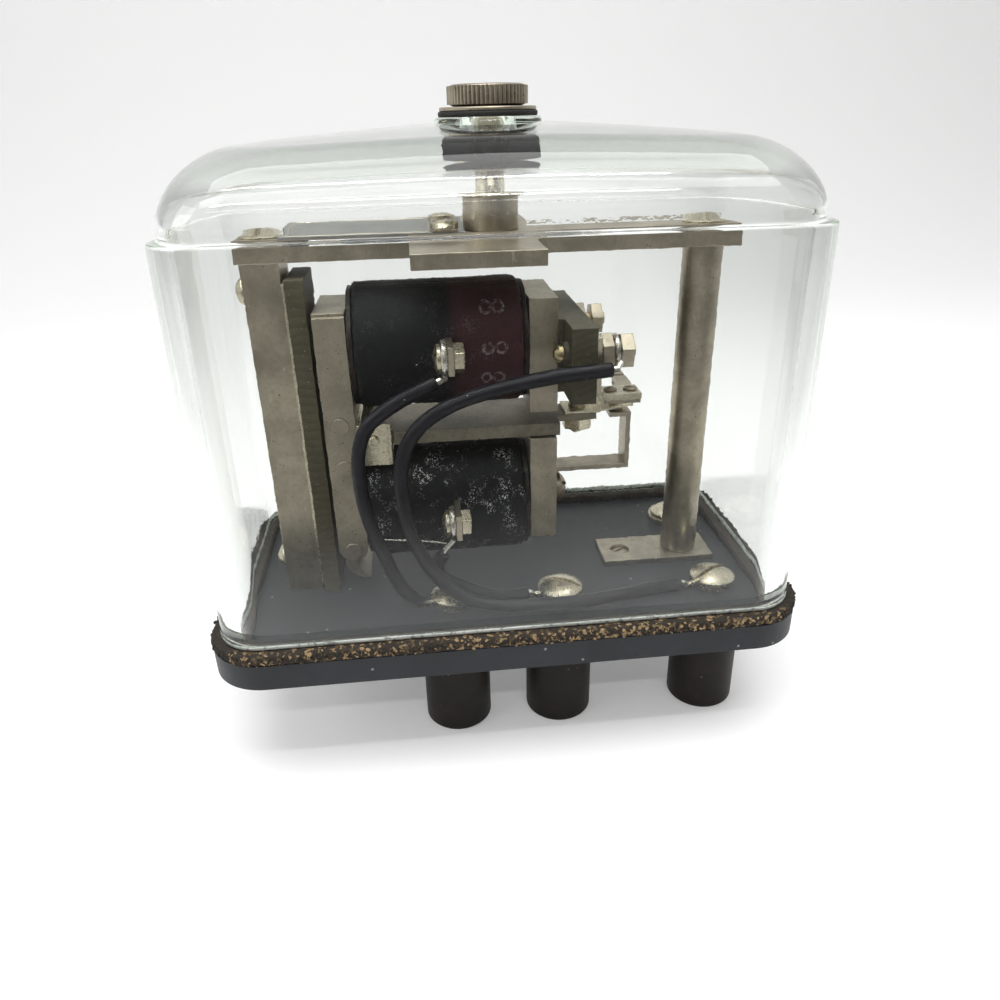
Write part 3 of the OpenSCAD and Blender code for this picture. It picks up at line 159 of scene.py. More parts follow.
class RelayStageSettings(bpy.types.PropertyGroup):
    floor: bpy.props.FloatVectorProperty(
        name="Floor", description="Colour of the floor and backdrop", default=(0.90, 0.90, 0.905),
        size=3, subtype="COLOR", min=0, max=1)
    key: bpy.props.FloatProperty(
        name="Key", description="Power of the overhead soft light", default=5.0, min=0, subtype="POWER")
    lens: bpy.props.FloatProperty(
        name="Lens", description="Focal length on a 36 mm frame, in millimetres", default=28.61, min=10)


def settings(name):
    return getattr(bpy.context.scene, name)


# Node helpers

def add(tree, kind, options=None, inputs=None):
    made = tree.nodes.new(kind)
    for key, value in (options or {}).items():
        setattr(made, key, value)
    for key, value in (inputs or {}).items():
        if isinstance(value, bpy.types.NodeSocket):
            tree.links.new(value, made.inputs[key])
        else:
            made.inputs[key].default_value = value
    return made


def maths(tree, operation, first, second=0.5, clamp=False):
    options = {"operation": operation, "use_clamp": clamp}
    return add(tree, "ShaderNodeMath", options, {0: first, 1: second}).outputs[0]


def times(tree, first, second):
    return maths(tree, "MULTIPLY", first, second)


def with_alpha(value):
    if isinstance(value, bpy.types.NodeSocket):
        return value
    return tuple(value) + (1.0,) * (4 - len(value))


def blend_colour(tree, factor, first, second):
    return add(tree, "ShaderNodeMix", {"data_type": "RGBA"},
               {0: factor, 6: with_alpha(first), 7: with_alpha(second)}).outputs[2]


def blend_value(tree, factor, low, high):
    return add(tree, "ShaderNodeMapRange", None, {0: factor, 3: low, 4: high}).outputs[0]


def ease(tree, value, start, end, low=0.0, high=1.0):
    """Goes softly from low to high while the value goes from start to end."""
    return add(tree, "ShaderNodeMapRange", {"interpolation_type": "SMOOTHSTEP"},
               {0: value, 1: start, 2: end, 3: low, 4: high}).outputs[0]


def mix_shaders(tree, factor, first, second):
    return add(tree, "ShaderNodeMixShader", None, {0: factor, 1: first, 2: second}).outputs[0]


def object_space(tree):
    return add(tree, "ShaderNodeTexCoord").outputs["Object"]


def split(tree, vector):
    return add(tree, "ShaderNodeSeparateXYZ", None, {0: vector}).outputs


def drawn_out(tree, direction):
    """The object's own space, stretched by the direction."""
    return add(tree, "ShaderNodeVectorMath", {"operation": "MULTIPLY"},
               {0: object_space(tree), 1: direction}).outputs[0]


SOCKETS = {int: "NodeSocketInt", float: "NodeSocketFloat", tuple: "NodeSocketVector",
           type(None): "NodeSocketObject"}


def add_inputs(tree, inputs):
    """Named inputs, each of the kind that its default value has. None makes an object input."""
    for label, value in inputs.items():
        socket = tree.interface.new_socket(name=label, in_out="INPUT", socket_type=SOCKETS[type(value)])
        if value is not None:
            socket.default_value = value


def new_group(name, inputs, output):
    group = bpy.data.node_groups.new(name, "ShaderNodeTree")
    add_inputs(group, inputs)
    group.interface.new_socket(name=output, in_out="OUTPUT", socket_type="NodeSocketFloat")
    return group, add(group, "NodeGroupInput").outputs, add(group, "NodeGroupOutput").inputs[0]


# Effects that several materials share

def grain_group():
    group, given, out = new_group("Brushed Grain", {"Direction": (1, 1, 1), "Scale": 900.0}, "Value")
    lines = add(group, "ShaderNodeTexNoise", None,
                {"Vector": drawn_out(group, given["Direction"]), "Scale": given["Scale"], "Detail": 5.0,
                 "Roughness": 0.62})
    group.links.new(lines.outputs[0], out)


def patches_group():
    group, given, out = new_group("Tarnish Patches", {"Scale": 120.0, "Low": 0.4, "High": 0.65}, "Mask")
    cloud = add(group, "ShaderNodeTexNoise", None,
                {"Vector": object_space(group), "Scale": given["Scale"], "Detail": 6.0, "Roughness": 0.6,
                 "Distortion": 0.3})
    group.links.new(ease(group, cloud.outputs[0], given["Low"], given["High"]), out)


def specks_group():
    group, given, out = new_group("Fine Specks", {"Scale": 1500.0, "Share": 0.2, "Size": 0.3}, "Mask")
    place = object_space(group)
    wobble = add(group, "ShaderNodeTexNoise", None, {"Vector": place, "Scale": 2600.0, "Detail": 2.0})
    nudged = add(group, "ShaderNodeVectorMath", {"operation": "MULTIPLY_ADD"},
                 {0: wobble.outputs[1], 1: (0.0002, 0.0002, 0.0002), 2: place})
    cells = add(group, "ShaderNodeTexVoronoi", None, {"Vector": nudged.outputs[0], "Scale": given["Scale"]})
    near = maths(group, "LESS_THAN", cells.outputs["Distance"], given["Size"])
    picked = add(group, "ShaderNodeSeparateColor", None, {0: cells.outputs["Color"]})
    chosen = maths(group, "LESS_THAN", picked.outputs[0], given["Share"])
    group.links.new(times(group, near, chosen), out)


def scratches_group():
    group, given, out = new_group(
        "Hair Scratches", {"Direction": (1, 1, 0.1), "Scale": 300.0, "Width": 0.006}, "Mask")
    field = add(group, "ShaderNodeTexNoise", None,
                {"Vector": drawn_out(group, given["Direction"]), "Scale": given["Scale"], "Detail": 1.0})
    off = maths(group, "ABSOLUTE", maths(group, "SUBTRACT", field.outputs[0], 0.5))
    line = maths(group, "LESS_THAN", off, given["Width"])
    group.links.new(times(group, line, patches(group, 260.0, 0.5, 0.6)), out)


def dust_group():
    group, given, out = new_group("Settled Dust", {"Amount": 0.5, "Scale": 500.0}, "Mask")
    facing = add(group, "ShaderNodeNewGeometry").outputs["Normal"]
    cloud = add(group, "ShaderNodeTexNoise", None,
                {"Vector": object_space(group), "Scale": given["Scale"], "Detail": 5.0, "Roughness": 0.7})
    uneven = add(group, "ShaderNodeMapRange", None, {0: cloud.outputs[0], 1: 0.35, 2: 0.7})
    thick = times(group, ease(group, split(group, facing)[2], 0.2, 0.95), uneven.outputs[0])
    group.links.new(maths(group, "MULTIPLY", thick, given["Amount"], True), out)


def saw_group():
    group, given, out = new_group("Saw Marks", {"Turn": (0, 0, 0), "Scale": 300.0}, "Value")
    turned = add(group, "ShaderNodeMapping", None, {"Vector": object_space(group), "Rotation": given["Turn"]})
    ridges = add(group, "ShaderNodeTexWave", {"bands_direction": "Z", "wave_profile": "SAW"},
                 {"Vector": turned.outputs[0], "Scale": given["Scale"], "Distortion": 3.0, "Detail": 3.0,
                  "Detail Scale": 2.0})
    group.links.new(ridges.outputs["Fac"], out)


def make_groups():
    for maker in (grain_group, patches_group, specks_group, scratches_group, dust_group, saw_group):
        maker()


def use(tree, name, inputs):
    return add(tree, "ShaderNodeGroup", {"node_tree": bpy.data.node_groups[name]}, inputs).outputs[0]


def brushed(tree, scale, along=(1, 1, 1)):
    return use(tree, "Brushed Grain", {"Direction": along, "Scale": scale})


def patches(tree, scale, low, high):
    return use(tree, "Tarnish Patches", {"Scale": scale, "Low": low, "High": high})


def specks(tree, scale, share, size):
    return use(tree, "Fine Specks", {"Scale": scale, "Share": share, "Size": size})


def dust(tree, amount, scale):
    return use(tree, "Settled Dust", {"Amount": amount, "Scale": scale})


# Finishes

def new_finish(name, **plain):
    made = bpy.data.materials.new(name)
    made.use_nodes = True
    shader = made.node_tree.nodes["Principled BSDF"]
    for key, value in plain.items():
        socket = shader.inputs[key.replace("_", " ")]
        socket.default_value = with_alpha(value) if key == "Base_Color" else value
    return made.node_tree, shader


def material_output(tree):
    return [n for n in tree.nodes if n.type == "OUTPUT_MATERIAL"][0].inputs


def toned(colour, factor):
    return [min(1, c * factor) for c in colour]


def layered(tree, body, layers):
    """The body colour with others laid over it: mask, greatest share, colour."""
    for mask, share, colour in layers:
        body = blend_colour(tree, mask if share == 1 else times(tree, mask, share), body, colour)
    return body


def bump(tree, shader, height, depth, strength):
    """Dents from a height map, the depth in millimetres."""
    dent = add(tree, "ShaderNodeBump", None, {"Strength": strength, "Distance": depth * MM, "Height": height})
    tree.links.new(dent.outputs[0], shader.inputs["Normal"])


def coat(tree, shader, body, grain, rough):
    """Links the colour, and a roughness that follows the grain between two values."""
    tree.links.new(body, shader.inputs["Base Color"])
    tree.links.new(blend_value(tree, grain, *rough), shader.inputs["Roughness"])


def metal_finish(name, colour, along, rough=0.34, worn=0.4, dusty=0.08, pits=0.05):
    tree, shader = new_finish(name, Metallic=1.0)
    grain = brushed(tree, 1500.0, along)
    fine = patches(tree, 900.0, 0.45, 0.75)
    hair = use(tree, "Hair Scratches", {"Direction": (1.0, 1.0, 0.12), "Scale": 420.0, "Width": 0.004})
    pit = specks(tree, 1300.0, pits, 0.22)
    settled = dust(tree, dusty, 700.0)
    body = layered(tree, colour, [
        (patches(tree, 90.0, 0.35, 0.7), 1, toned(colour, 1 - worn)),
        (fine, 0.35, toned(colour, 0.55)),
        (hair, 0.5, toned(colour, 1.5)),
        (pit, 0.8, (0.05, 0.04, 0.03)),
        (settled, 1, (0.36, 0.34, 0.30)),
    ])
    uneven = maths(tree, "ADD", times(tree, grain, 0.6), times(tree, fine, 0.4))
    uneven = blend_value(tree, uneven, rough - 0.08, rough + 0.2)
    tree.links.new(body, shader.inputs["Base Color"])
    tree.links.new(maths(tree, "ADD", uneven, times(tree, settled, 0.35), True), shader.inputs["Roughness"])
    tree.links.new(maths(tree, "SUBTRACT", 1.0, settled, True), shader.inputs["Metallic"])
    bump(tree, shader, maths(tree, "SUBTRACT", grain, times(tree, pit, 0.8)), 0.03, 0.55)


def enamel_finish():
    colour = settings("relay_base").enamel
    tree, shader = new_finish("Base Enamel", Coat_Weight=0.08, Coat_Roughness=0.4, Specular_IOR_Level=0.32)
    grain = brushed(tree, 700.0)
    body = layered(tree, colour, [
        (patches(tree, 45.0, 0.3, 0.75), 1, toned(colour, 1.6)),
        (dust(tree, 0.06, 260.0), 1, (0.10, 0.105, 0.11)),
        (specks(tree, 420.0, 0.05, 0.16), 0.6, (0.35, 0.34, 0.32)),
        (specks(tree, 160.0, 0.03, 0.12), 0.7, (0.10, 0.07, 0.045)),
    ])
    coat(tree, shader, body, grain, (0.38, 0.62))
    bump(tree, shader, grain, 0.05, 0.5)


def cork_finish(name, lighter):
    """Cork, its tan grains seen on the front edge alone."""
    dark = settings("relay_base").cork
    tree, shader = new_finish(name, Roughness=0.85)
    place = object_space(tree)
    cells = add(tree, "ShaderNodeTexVoronoi", None, {"Vector": place, "Scale": 1350.0})
    tone = add(tree, "ShaderNodeSeparateColor", None, {0: cells.outputs["Color"]})
    ramp = add(tree, "ShaderNodeValToRGB", None, {0: tone.outputs[0]})
    stops = ramp.color_ramp.elements
    stops[0].color = with_alpha(dark)
    stops[1].color = (0.36, 0.25, 0.13, 1)
    for spot, colour in ((0.64, (0.032, 0.024, 0.016, 1)), (0.82, (0.12, 0.080, 0.040, 1)),
                         (0.88, (0.26, 0.18, 0.090, 1))):
        stops.new(spot - lighter).color = colour
    grit = specks(tree, 1800.0, 0.3, 0.3)
    front = ease(tree, split(tree, place)[1], -0.0385, -0.0415, 0.06, 1.0)
    body = layered(tree, dark, [(front, 1, ramp.outputs[0]), (grit, 0.6, (0.02, 0.014, 0.01))])
    tree.links.new(body, shader.inputs["Base Color"])
    bump(tree, shader, maths(tree, "ADD", cells.outputs["Distance"], times(tree, grit, 0.3)), 0.25, 0.8)


def moulded_finish():
    tree, shader = new_finish("Moulded Feet", Specular_IOR_Level=0.2)
    grain = brushed(tree, 1600.0, (0.12, 0.12, 1.0))
    body = layered(tree, (0.008, 0.0065, 0.0055), [
        (patches(tree, 110.0, 0.35, 0.75), 1, (0.0152, 0.00975, 0.0066)),
        (specks(tree, 700.0, 0.06, 0.2), 0.5, (0.14, 0.11, 0.08)),
        (dust(tree, 0.1, 400.0), 1, (0.16, 0.15, 0.14)),
    ])
    coat(tree, shader, body, grain, (0.32, 0.6))
    bump(tree, shader, grain, 0.08, 0.6)


def fibre_finish(name, colour, turn, depth=0.16):
    tree, shader = new_finish(name, Specular_IOR_Level=0.35)
    saw = use(tree, "Saw Marks", {"Turn": turn, "Scale": 190.0})
    weave = brushed(tree, 1800.0)
    body = layered(tree, colour, [
        (saw, 0.55, toned(colour, 2.3)),
        (patches(tree, 120.0, 0.35, 0.7), 0.5, toned(colour, 0.5)),
        (weave, 0.3, (0.10, 0.085, 0.045)),
        (specks(tree, 1500.0, 0.1, 0.22), 0.5, (0.30, 0.27, 0.20)),
        (dust(tree, 0.14, 600.0), 1, (0.22, 0.21, 0.19)),
    ])
    coat(tree, shader, body, weave, (0.42, 0.8))
    bump(tree, shader, maths(tree, "ADD", saw, times(tree, weave, 0.5)), depth, 0.8)


def tape_finish(name, colour, far_colour, white, marked):
    """Varnished tape: one colour along the coil into another, with white dust in drifts."""
    tree, shader = new_finish(name, Specular_IOR_Level=0.16)
    place = object_space(tree)
    along = ease(tree, split(tree, place)[0], -0.0135, -0.0085)
    across = [add(tree, "ShaderNodeTexWave", {"bands_direction": way},
                  {"Vector": place, "Scale": 900.0, "Distortion": 1.5}).outputs["Fac"] for way in "XZ"]
    weave = times(tree, *across)
    powder = specks(tree, 3000.0, 0.5, 0.40)
    crumbs = maths(tree, "MAXIMUM", specks(tree, 1700.0, 0.4, 0.34), powder)
    drift = times(tree, patches(tree, 170.0, 0.49, 0.70), crumbs)
    body = layered(tree, colour, [
        (along, 1, far_colour),
        (weave, 0.25, [c * 2.2 + 0.004 for c in colour]),
        (drift, white, (0.80, 0.80, 0.80)),
        (specks(tree, 650.0, 0.03, 0.12), 0.8, (0.7, 0.7, 0.68)),
        (dust(tree, 0.12, 900.0), 0.6, (0.12, 0.12, 0.12)),
    ])
    if marked:
        body = layered(tree, body, [(worn_marks(tree, powder), 0.3, (0.45, 0.42, 0.42))])
    coat(tree, shader, body, weave, (0.5, 0.85))
    bump(tree, shader, maths(tree, "ADD", weave, times(tree, drift, 1.2)), 0.12, 0.8)


def worn_marks(tree, powder):
    """Three worn pairs of painted rings, one above the other, near the coil's right end."""
    ring_r, stroke, apart = 0.0012, 0.00035, 0.0016
    marks = 0.0
    for x, z in ((-0.0015, 0.1150), (-0.0012, 0.1060), (-0.0018, 0.0985)):
        for shift in (-apart, apart):
            away = add(tree, "ShaderNodeVectorMath", {"operation": "DISTANCE"},
                       {0: drawn_out(tree, (1, 0, 1)), 1: (x + shift, 0.0, z)})
            off = maths(tree, "ABSOLUTE", maths(tree, "SUBTRACT", away.outputs["Value"], ring_r))
            marks = maths(tree, "MAXIMUM", marks, maths(tree, "LESS_THAN", off, stroke))
    return times(tree, marks, maths(tree, "MAXIMUM", patches(tree, 1100.0, 0.45, 0.6), powder))


def sleeve_finish():
    colour = settings("relay_leads").sleeve
    tree, shader = new_finish("Lead Sleeving", Specular_IOR_Level=0.3)
    grain = brushed(tree, 1400.0)
    body = layered(tree, colour, [
        (patches(tree, 150.0, 0.35, 0.7), 1, toned(colour, 1.7)),
        (dust(tree, 0.06, 900.0), 1, (0.05, 0.05, 0.055)),
        (specks(tree, 900.0, 0.03, 0.14), 0.7, (0.4, 0.4, 0.4)),
    ])
    coat(tree, shader, body, grain, (0.26, 0.5))
    bump(tree, shader, grain, 0.05, 0.5)


def label_finish():
    tree, shader = new_finish("Etched Plate", Metallic=0.85)
    grain = brushed(tree, 1900.0, (0.15, 1, 1))
    body = layered(tree, (0.25, 0.25, 0.24), [
        (patches(tree, 130.0, 0.4, 0.7), 1, (0.18, 0.18, 0.175)),
        (grain, 0.5, (0.40, 0.39, 0.37)),
        (dust(tree, 0.12, 500.0), 1, (0.30, 0.30, 0.29)),
    ])
    coat(tree, shader, body, grain, (0.36, 0.62))
    bump(tree, shader, grain, 0.03, 0.5)


def rubber_finish():
    tree, shader = new_finish("Rubber", Specular_IOR_Level=0.35)
    grain = brushed(tree, 1500.0)
    body = blend_colour(tree, grain, (0.008, 0.008, 0.008), (0.03, 0.028, 0.026))
    coat(tree, shader, body, grain, (0.55, 0.85))
    bump(tree, shader, grain, 0.08, 0.7)


def glass_finish():
    """Clear glass, tinted by its depth. Light goes straight on from its fourth bounce."""
    tree, shader = new_finish("Cover Glass", Base_Color=(0.985, 0.992, 0.985), IOR=1.5,
                              Transmission_Weight=1.0, Roughness=0.0)
    bump(tree, shader, patches(tree, 26.0, 0.2, 0.8), 0.12, 0.35)
    path = add(tree, "ShaderNodeLightPath").outputs
    clear = add(tree, "ShaderNodeBsdfTransparent", None, {0: (0.93, 0.95, 0.94, 1)}).outputs[0]
    straight = add(tree, "ShaderNodeBsdfTransparent", None, {0: (0.97, 0.975, 0.97, 1)}).outputs[0]
    late = maths(tree, "GREATER_THAN", path["Ray Depth"], 3.5)
    trapped = mix_shaders(tree, late, shader.outputs[0], straight)
    tree.links.new(mix_shaders(tree, path["Is Shadow Ray"], trapped, clear), material_output(tree)["Surface"])
    deep = add(tree, "ShaderNodeVolumeAbsorption", None,
               {"Color": with_alpha(settings("relay_glass").tint), "Density": 26.0})
    tree.links.new(deep.outputs[0], material_output(tree)["Volume"])


def ground_and_highlight_finish():
    """The ground foot of the glass, scuffed with dark ticks. Its whitish colour is partly a painted highlight
    along the rim's bottom edge.
    """
    tree, shader = new_finish("Ground Glass", Specular_IOR_Level=0.5, Roughness=0.4)
    ticks = patches(tree, 700.0, 0.52, 0.62)
    # Painted highlight: the whitish base colour stands in for the bright line along the rim's bottom edge.
    # The patches and dark ticks are scuffs.
    body = layered(tree, (0.62, 0.65, 0.62), [
        (patches(tree, 60.0, 0.35, 0.7), 1, (0.36, 0.39, 0.37)),
        (ticks, 0.7, (0.07, 0.07, 0.065)),
    ])
    tree.links.new(body, shader.inputs["Base Color"])
    bump(tree, shader, ticks, 0.04, 0.5)


def make_finishes():
    metal = settings("relay_metal")
    coil = settings("relay_coils")
    metal_finish("Aged Nickel Upright", metal.nickel, (1.0, 1.0, 0.08), 0.36)
    metal_finish("Aged Nickel Level", metal.nickel, (0.08, 1.0, 1.0), 0.36, 0.35, 0.14)
    metal_finish("Magnet Iron", toned(metal.nickel, 0.84), (1, 1, 0.5), 0.40, 0.3, 0.1, 0.12)
    metal_finish("Bright Nickel", metal.bright, (1, 1, 1), 0.26, 0.25, 0.06)
    metal_finish("Dull Brass", metal.brass, (1, 1, 1), 0.3, 0.3, 0.06)
    metal_finish("Worn Nut", metal.nickel, (1, 1, 0.2), 0.34, 0.5, 0.1, 0.3)
    metal_finish("Dark Iron", toned(metal.nickel, 0.5), (1, 0.2, 1), 0.42, 0.35, 0.12, 0.15)
    metal_finish("Bare Wire", (0.72, 0.68, 0.62), (1, 1, 1), 0.24, 0.3, 0.1)
    enamel_finish()
    cork_finish("Cork Sheet", 0.0)
    cork_finish("Cork Grains", 0.08)
    moulded_finish()
    fibre_finish("Fibre Board", (0.040, 0.034, 0.020), (0.72, 0.0, 0.0))
    fibre_finish("Fibre Block", (0.034, 0.030, 0.018), (0.2, 0.3, 0.0), 0.08)
    tape_finish("Upper Tape", coil.tape, coil.maroon, 0.07, True)
    tape_finish("Lower Tape", coil.tape, coil.tape, 0.85, False)
    sleeve_finish()
    label_finish()
    rubber_finish()
    glass_finish()
    ground_and_highlight_finish()


# Piece helpers

def new_object(name, data):
    made = bpy.data.objects.new(name, data)
    bpy.context.collection.objects.link(made)
    return made


def paint(mesh, finish):
    mesh.materials.clear()
    mesh.materials.append(bpy.data.materials[finish])


def new_piece(name, mesh, finish, body, node):
    piece = new_object(name, mesh)
    paint(mesh, finish)
    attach(piece, body)
    if node:
        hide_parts(node)


def shade(mesh, angle):
    mesh.polygons.foreach_set("use_smooth", [True] * len(mesh.polygons))
    mesh.set_sharp_from_angle(angle=math.radians(angle))
    mesh.update()


def apply_modifiers(piece):
    held = bpy.context.evaluated_depsgraph_get()
    result = bpy.data.meshes.new_from_object(piece.evaluated_get(held), depsgraph=held)
    piece.modifiers.clear()
    old = piece.data
    piece.data = result
    bpy.data.meshes.remove(old)
    return piece


def opened(mesh):
    work = bmesh.new()
    work.from_mesh(mesh)
    return work


def closed(work, mesh):
    work.to_mesh(mesh)
    work.free()
    return mesh


def faced_outward(mesh):
    work = opened(mesh)
    bmesh.ops.recalc_face_normals(work, faces=work.faces)
    return closed(work, mesh)


def merged_copy(node):
    """The part's own mesh as a clean copy, with its flat faces joined again."""
    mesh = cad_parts[node].data.copy()
    work = opened(mesh)
    bmesh.ops.remove_doubles(work, verts=work.verts, dist=2e-6)
    bmesh.ops.dissolve_limit(work, angle_limit=math.radians(0.6), verts=work.verts, edges=work.edges)
    return closed(work, mesh)


def add_bevel(piece, width, steps, angle):
    edge = piece.modifiers.new("Broken Edges", "BEVEL")
    edge.width = width
    edge.segments = steps
    edge.limit_method = "ANGLE"
    edge.angle_limit = math.radians(angle)


def rounded(node, finish, width=1.0, body="frame", steps=2):
    """A part with its machined edges broken: the solid stays, this stands for it."""
    piece = new_object(node + "_finished", merged_copy(node))
    add_bevel(piece, width * settings("relay_metal").edge, steps, 32)
    piece.modifiers.new("Flat Faces", "WEIGHTED_NORMAL").keep_sharp = True
    shade(piece.data, 80)
    apply_modifiers(piece)
    paint(piece.data, finish)
    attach(piece, body)
    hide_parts(node)


def paint_nodes(nodes, finish):
    """Hidden or small parts keep their own mesh and get their finish."""
    for node in nodes:
        paint(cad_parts[node].data, finish)


def loft(name, rings, capped=False):
    """Quads through rings of equal length, closed into a loop or capped at both ends."""
    size, count = len(rings[0]), len(rings)
    faces = []
    for i in range(count - 1 if capped else count):
        low, high = i * size, (i + 1) % count * size
        for k in range(size):
            after = (k + 1) % size
            faces.append((low + k, low + after, high + after, high + k))
    if capped:
        faces.append(tuple(range(size))[::-1])
        faces.append(tuple(range((count - 1) * size, count * size)))
    mesh = bpy.data.meshes.new(name)
    mesh.from_pydata([p for ring in rings for p in ring], [], faces)
    mesh.update()
    return mesh


def turned_rings(profile, steps, least):
    """Rings about Z from (radius, height) pairs, with no radius under the least."""
    turns = [math.tau * k / steps for k in range(steps)]
    return [[(max(r, least) * math.cos(t), max(r, least) * math.sin(t), z) for t in turns]
            for r, z in profile]


def smooth_route(points, steps=7):
    """A Catmull-Rom curve through the route, in metres."""
    p = [Vector(q) * MM for q in points]
    p = [p[0] * 2 - p[1]] + p + [p[-1] * 2 - p[-2]]
    out = []
    for i in range(1, len(p) - 2):
        for k in range(steps):
            t = k / steps
            out.append(0.5 * ((2 * p[i]) + (p[i + 1] - p[i - 1]) * t
                              + (2 * p[i - 1] - 5 * p[i] + 4 * p[i + 1] - p[i + 2]) * t * t
                              + (3 * p[i] - p[i - 1] - 3 * p[i + 1] + p[i + 2]) * t ** 3))
    out.append(p[-2])
    return out


def tube_mesh(name, route, radius, sides, ends):
    """A round tube along a route. Each end is a list of (share of the radius, set back)."""
    last = len(route) - 1
    plan = [(0, share, back) for share, back in ends]
    plan += [(i, 1.0, 0) for i in range(1, last)]
    plan += [(last, share, -back) for share, back in reversed(ends)]
    up = Vector((0.05, 1, 0.1))
    rings = []
    for i, share, back in plan:
        way = (route[min(i + 1, last)] - route[max(i - 1, 0)]).normalized()
        up = (up - up.dot(way) * way).normalized()
        side = way.cross(up)
        centre = route[i] + way * back * radius
        swell = 1.0 + 0.02 * noise.noise(centre * 160)
        rings.append([tuple(centre + radius * share * swell * (math.cos(a) * up + math.sin(a) * side))
                      for a in (math.tau * k / sides for k in range(sides))])
    mesh = faced_outward(loft(name, rings, True))
    shade(mesh, 50)
    return mesh


# Trees that set a shape on many points

def new_tree(name, on_mesh, inputs):
    """A geometry tree with named inputs and the finish as its last one."""
    tree = bpy.data.node_groups.new(name, "GeometryNodeTree")
    if on_mesh:
        tree.interface.new_socket(name="Geometry", in_out="INPUT", socket_type="NodeSocketGeometry")
    add_inputs(tree, inputs)
    tree.interface.new_socket(name="Material", in_out="INPUT", socket_type="NodeSocketMaterial")
    tree.interface.new_socket(name="Geometry", in_out="OUTPUT", socket_type="NodeSocketGeometry")
    return tree, add(tree, "NodeGroupInput").outputs


def set_on_points(tree, given, points, shape, placing):
    """Sets the shape on each point as real geometry with its finish, and ends the tree."""
    spread = add(tree, "GeometryNodeInstanceOnPoints", None, {"Points": points, "Instance": shape, **placing})
    solid = add(tree, "GeometryNodeRealizeInstances", None, {0: spread.outputs[0]})
    dressed = add(tree, "GeometryNodeSetMaterial", None,
                  {"Geometry": solid.outputs[0], "Material": given["Material"]})
    tree.links.new(dressed.outputs[0], add(tree, "NodeGroupOutput").inputs[0])
    return tree


def scattered(tree, given):
    return add(tree, "GeometryNodeDistributePointsOnFaces", None,
               {"Mesh": given["Geometry"], "Density": given["Density"], "Seed": given["Seed"]}).outputs


def random_vector(tree, low, high, seed):
    return add(tree, "FunctionNodeRandomValue", {"data_type": "FLOAT_VECTOR"},
               {0: low, 1: high, "Seed": seed}).outputs[0]


def run_tree(name, tree, values, finish, start=None):
    """Runs a node tree on a mesh and keeps the result as a plain mesh."""
    piece = new_object(name, start or bpy.data.meshes.new(name))
    mod = piece.modifiers.new("Build", "NODES")
    mod.node_group = tree
    values = {**values, "Material": bpy.data.materials[finish]}
    for item in tree.interface.items_tree:
        if item.item_type == "SOCKET" and item.in_out == "INPUT" and item.name in values:
            mod[item.identifier] = values[item.name]
    return apply_modifiers(piece)


# Glass cover

def rounded_outline(a, b, r, corner=14, long_side=24, short_side=12):
    """Points of a rounded rectangle, evenly shared between its corners and its sides."""
    out = []
    centres = [(a - r, b - r), (-(a - r), b - r), (-(a - r), -(b - r)), (a - r, -(b - r))]
    for q in range(4):
        cx, cy = centres[q]
        nx, ny = centres[(q + 1) % 4]
        for k in range(corner + 1):
            t = math.radians(90 * q + 90 * k / corner)
            out.append((cx + r * math.cos(t), cy + r * math.sin(t)))
        turn = math.radians(90 * (q + 1))
        parts = long_side if q % 2 == 0 else short_side
        for j in range(1, parts):
            f = j / parts
            out.append((cx + (nx - cx) * f + r * math.cos(turn), cy + (ny - cy) * f + r * math.sin(turn)))
    return out


def unit_circle(count, short_side=12):
    """A circle whose points start beside those of a rounded outline."""
    turns = [math.tau * (i + short_side / 2) / count for i in range(count)]
    return [(math.cos(t), math.sin(t)) for t in turns]


def quarter(steps):
    """Sine and cosine of the angles from 0 to 90 degrees."""
    return [(math.sin(t), math.cos(t)) for t in (math.radians(90 * k / steps) for k in range(steps + 1))]


# Sizes of the moulding, in millimetres, as the solid cover has them
GLASS_CORNER = 11.0
DRAFT, LEDGE, SHOULDER, CROWN, DOME, BOSS_H = 0.7, 1.8, 13.5, 5.0, 20.6, 0.8
BOSS_R, HOLE_R, TOP_R = 12.5, 4.3, 17.0


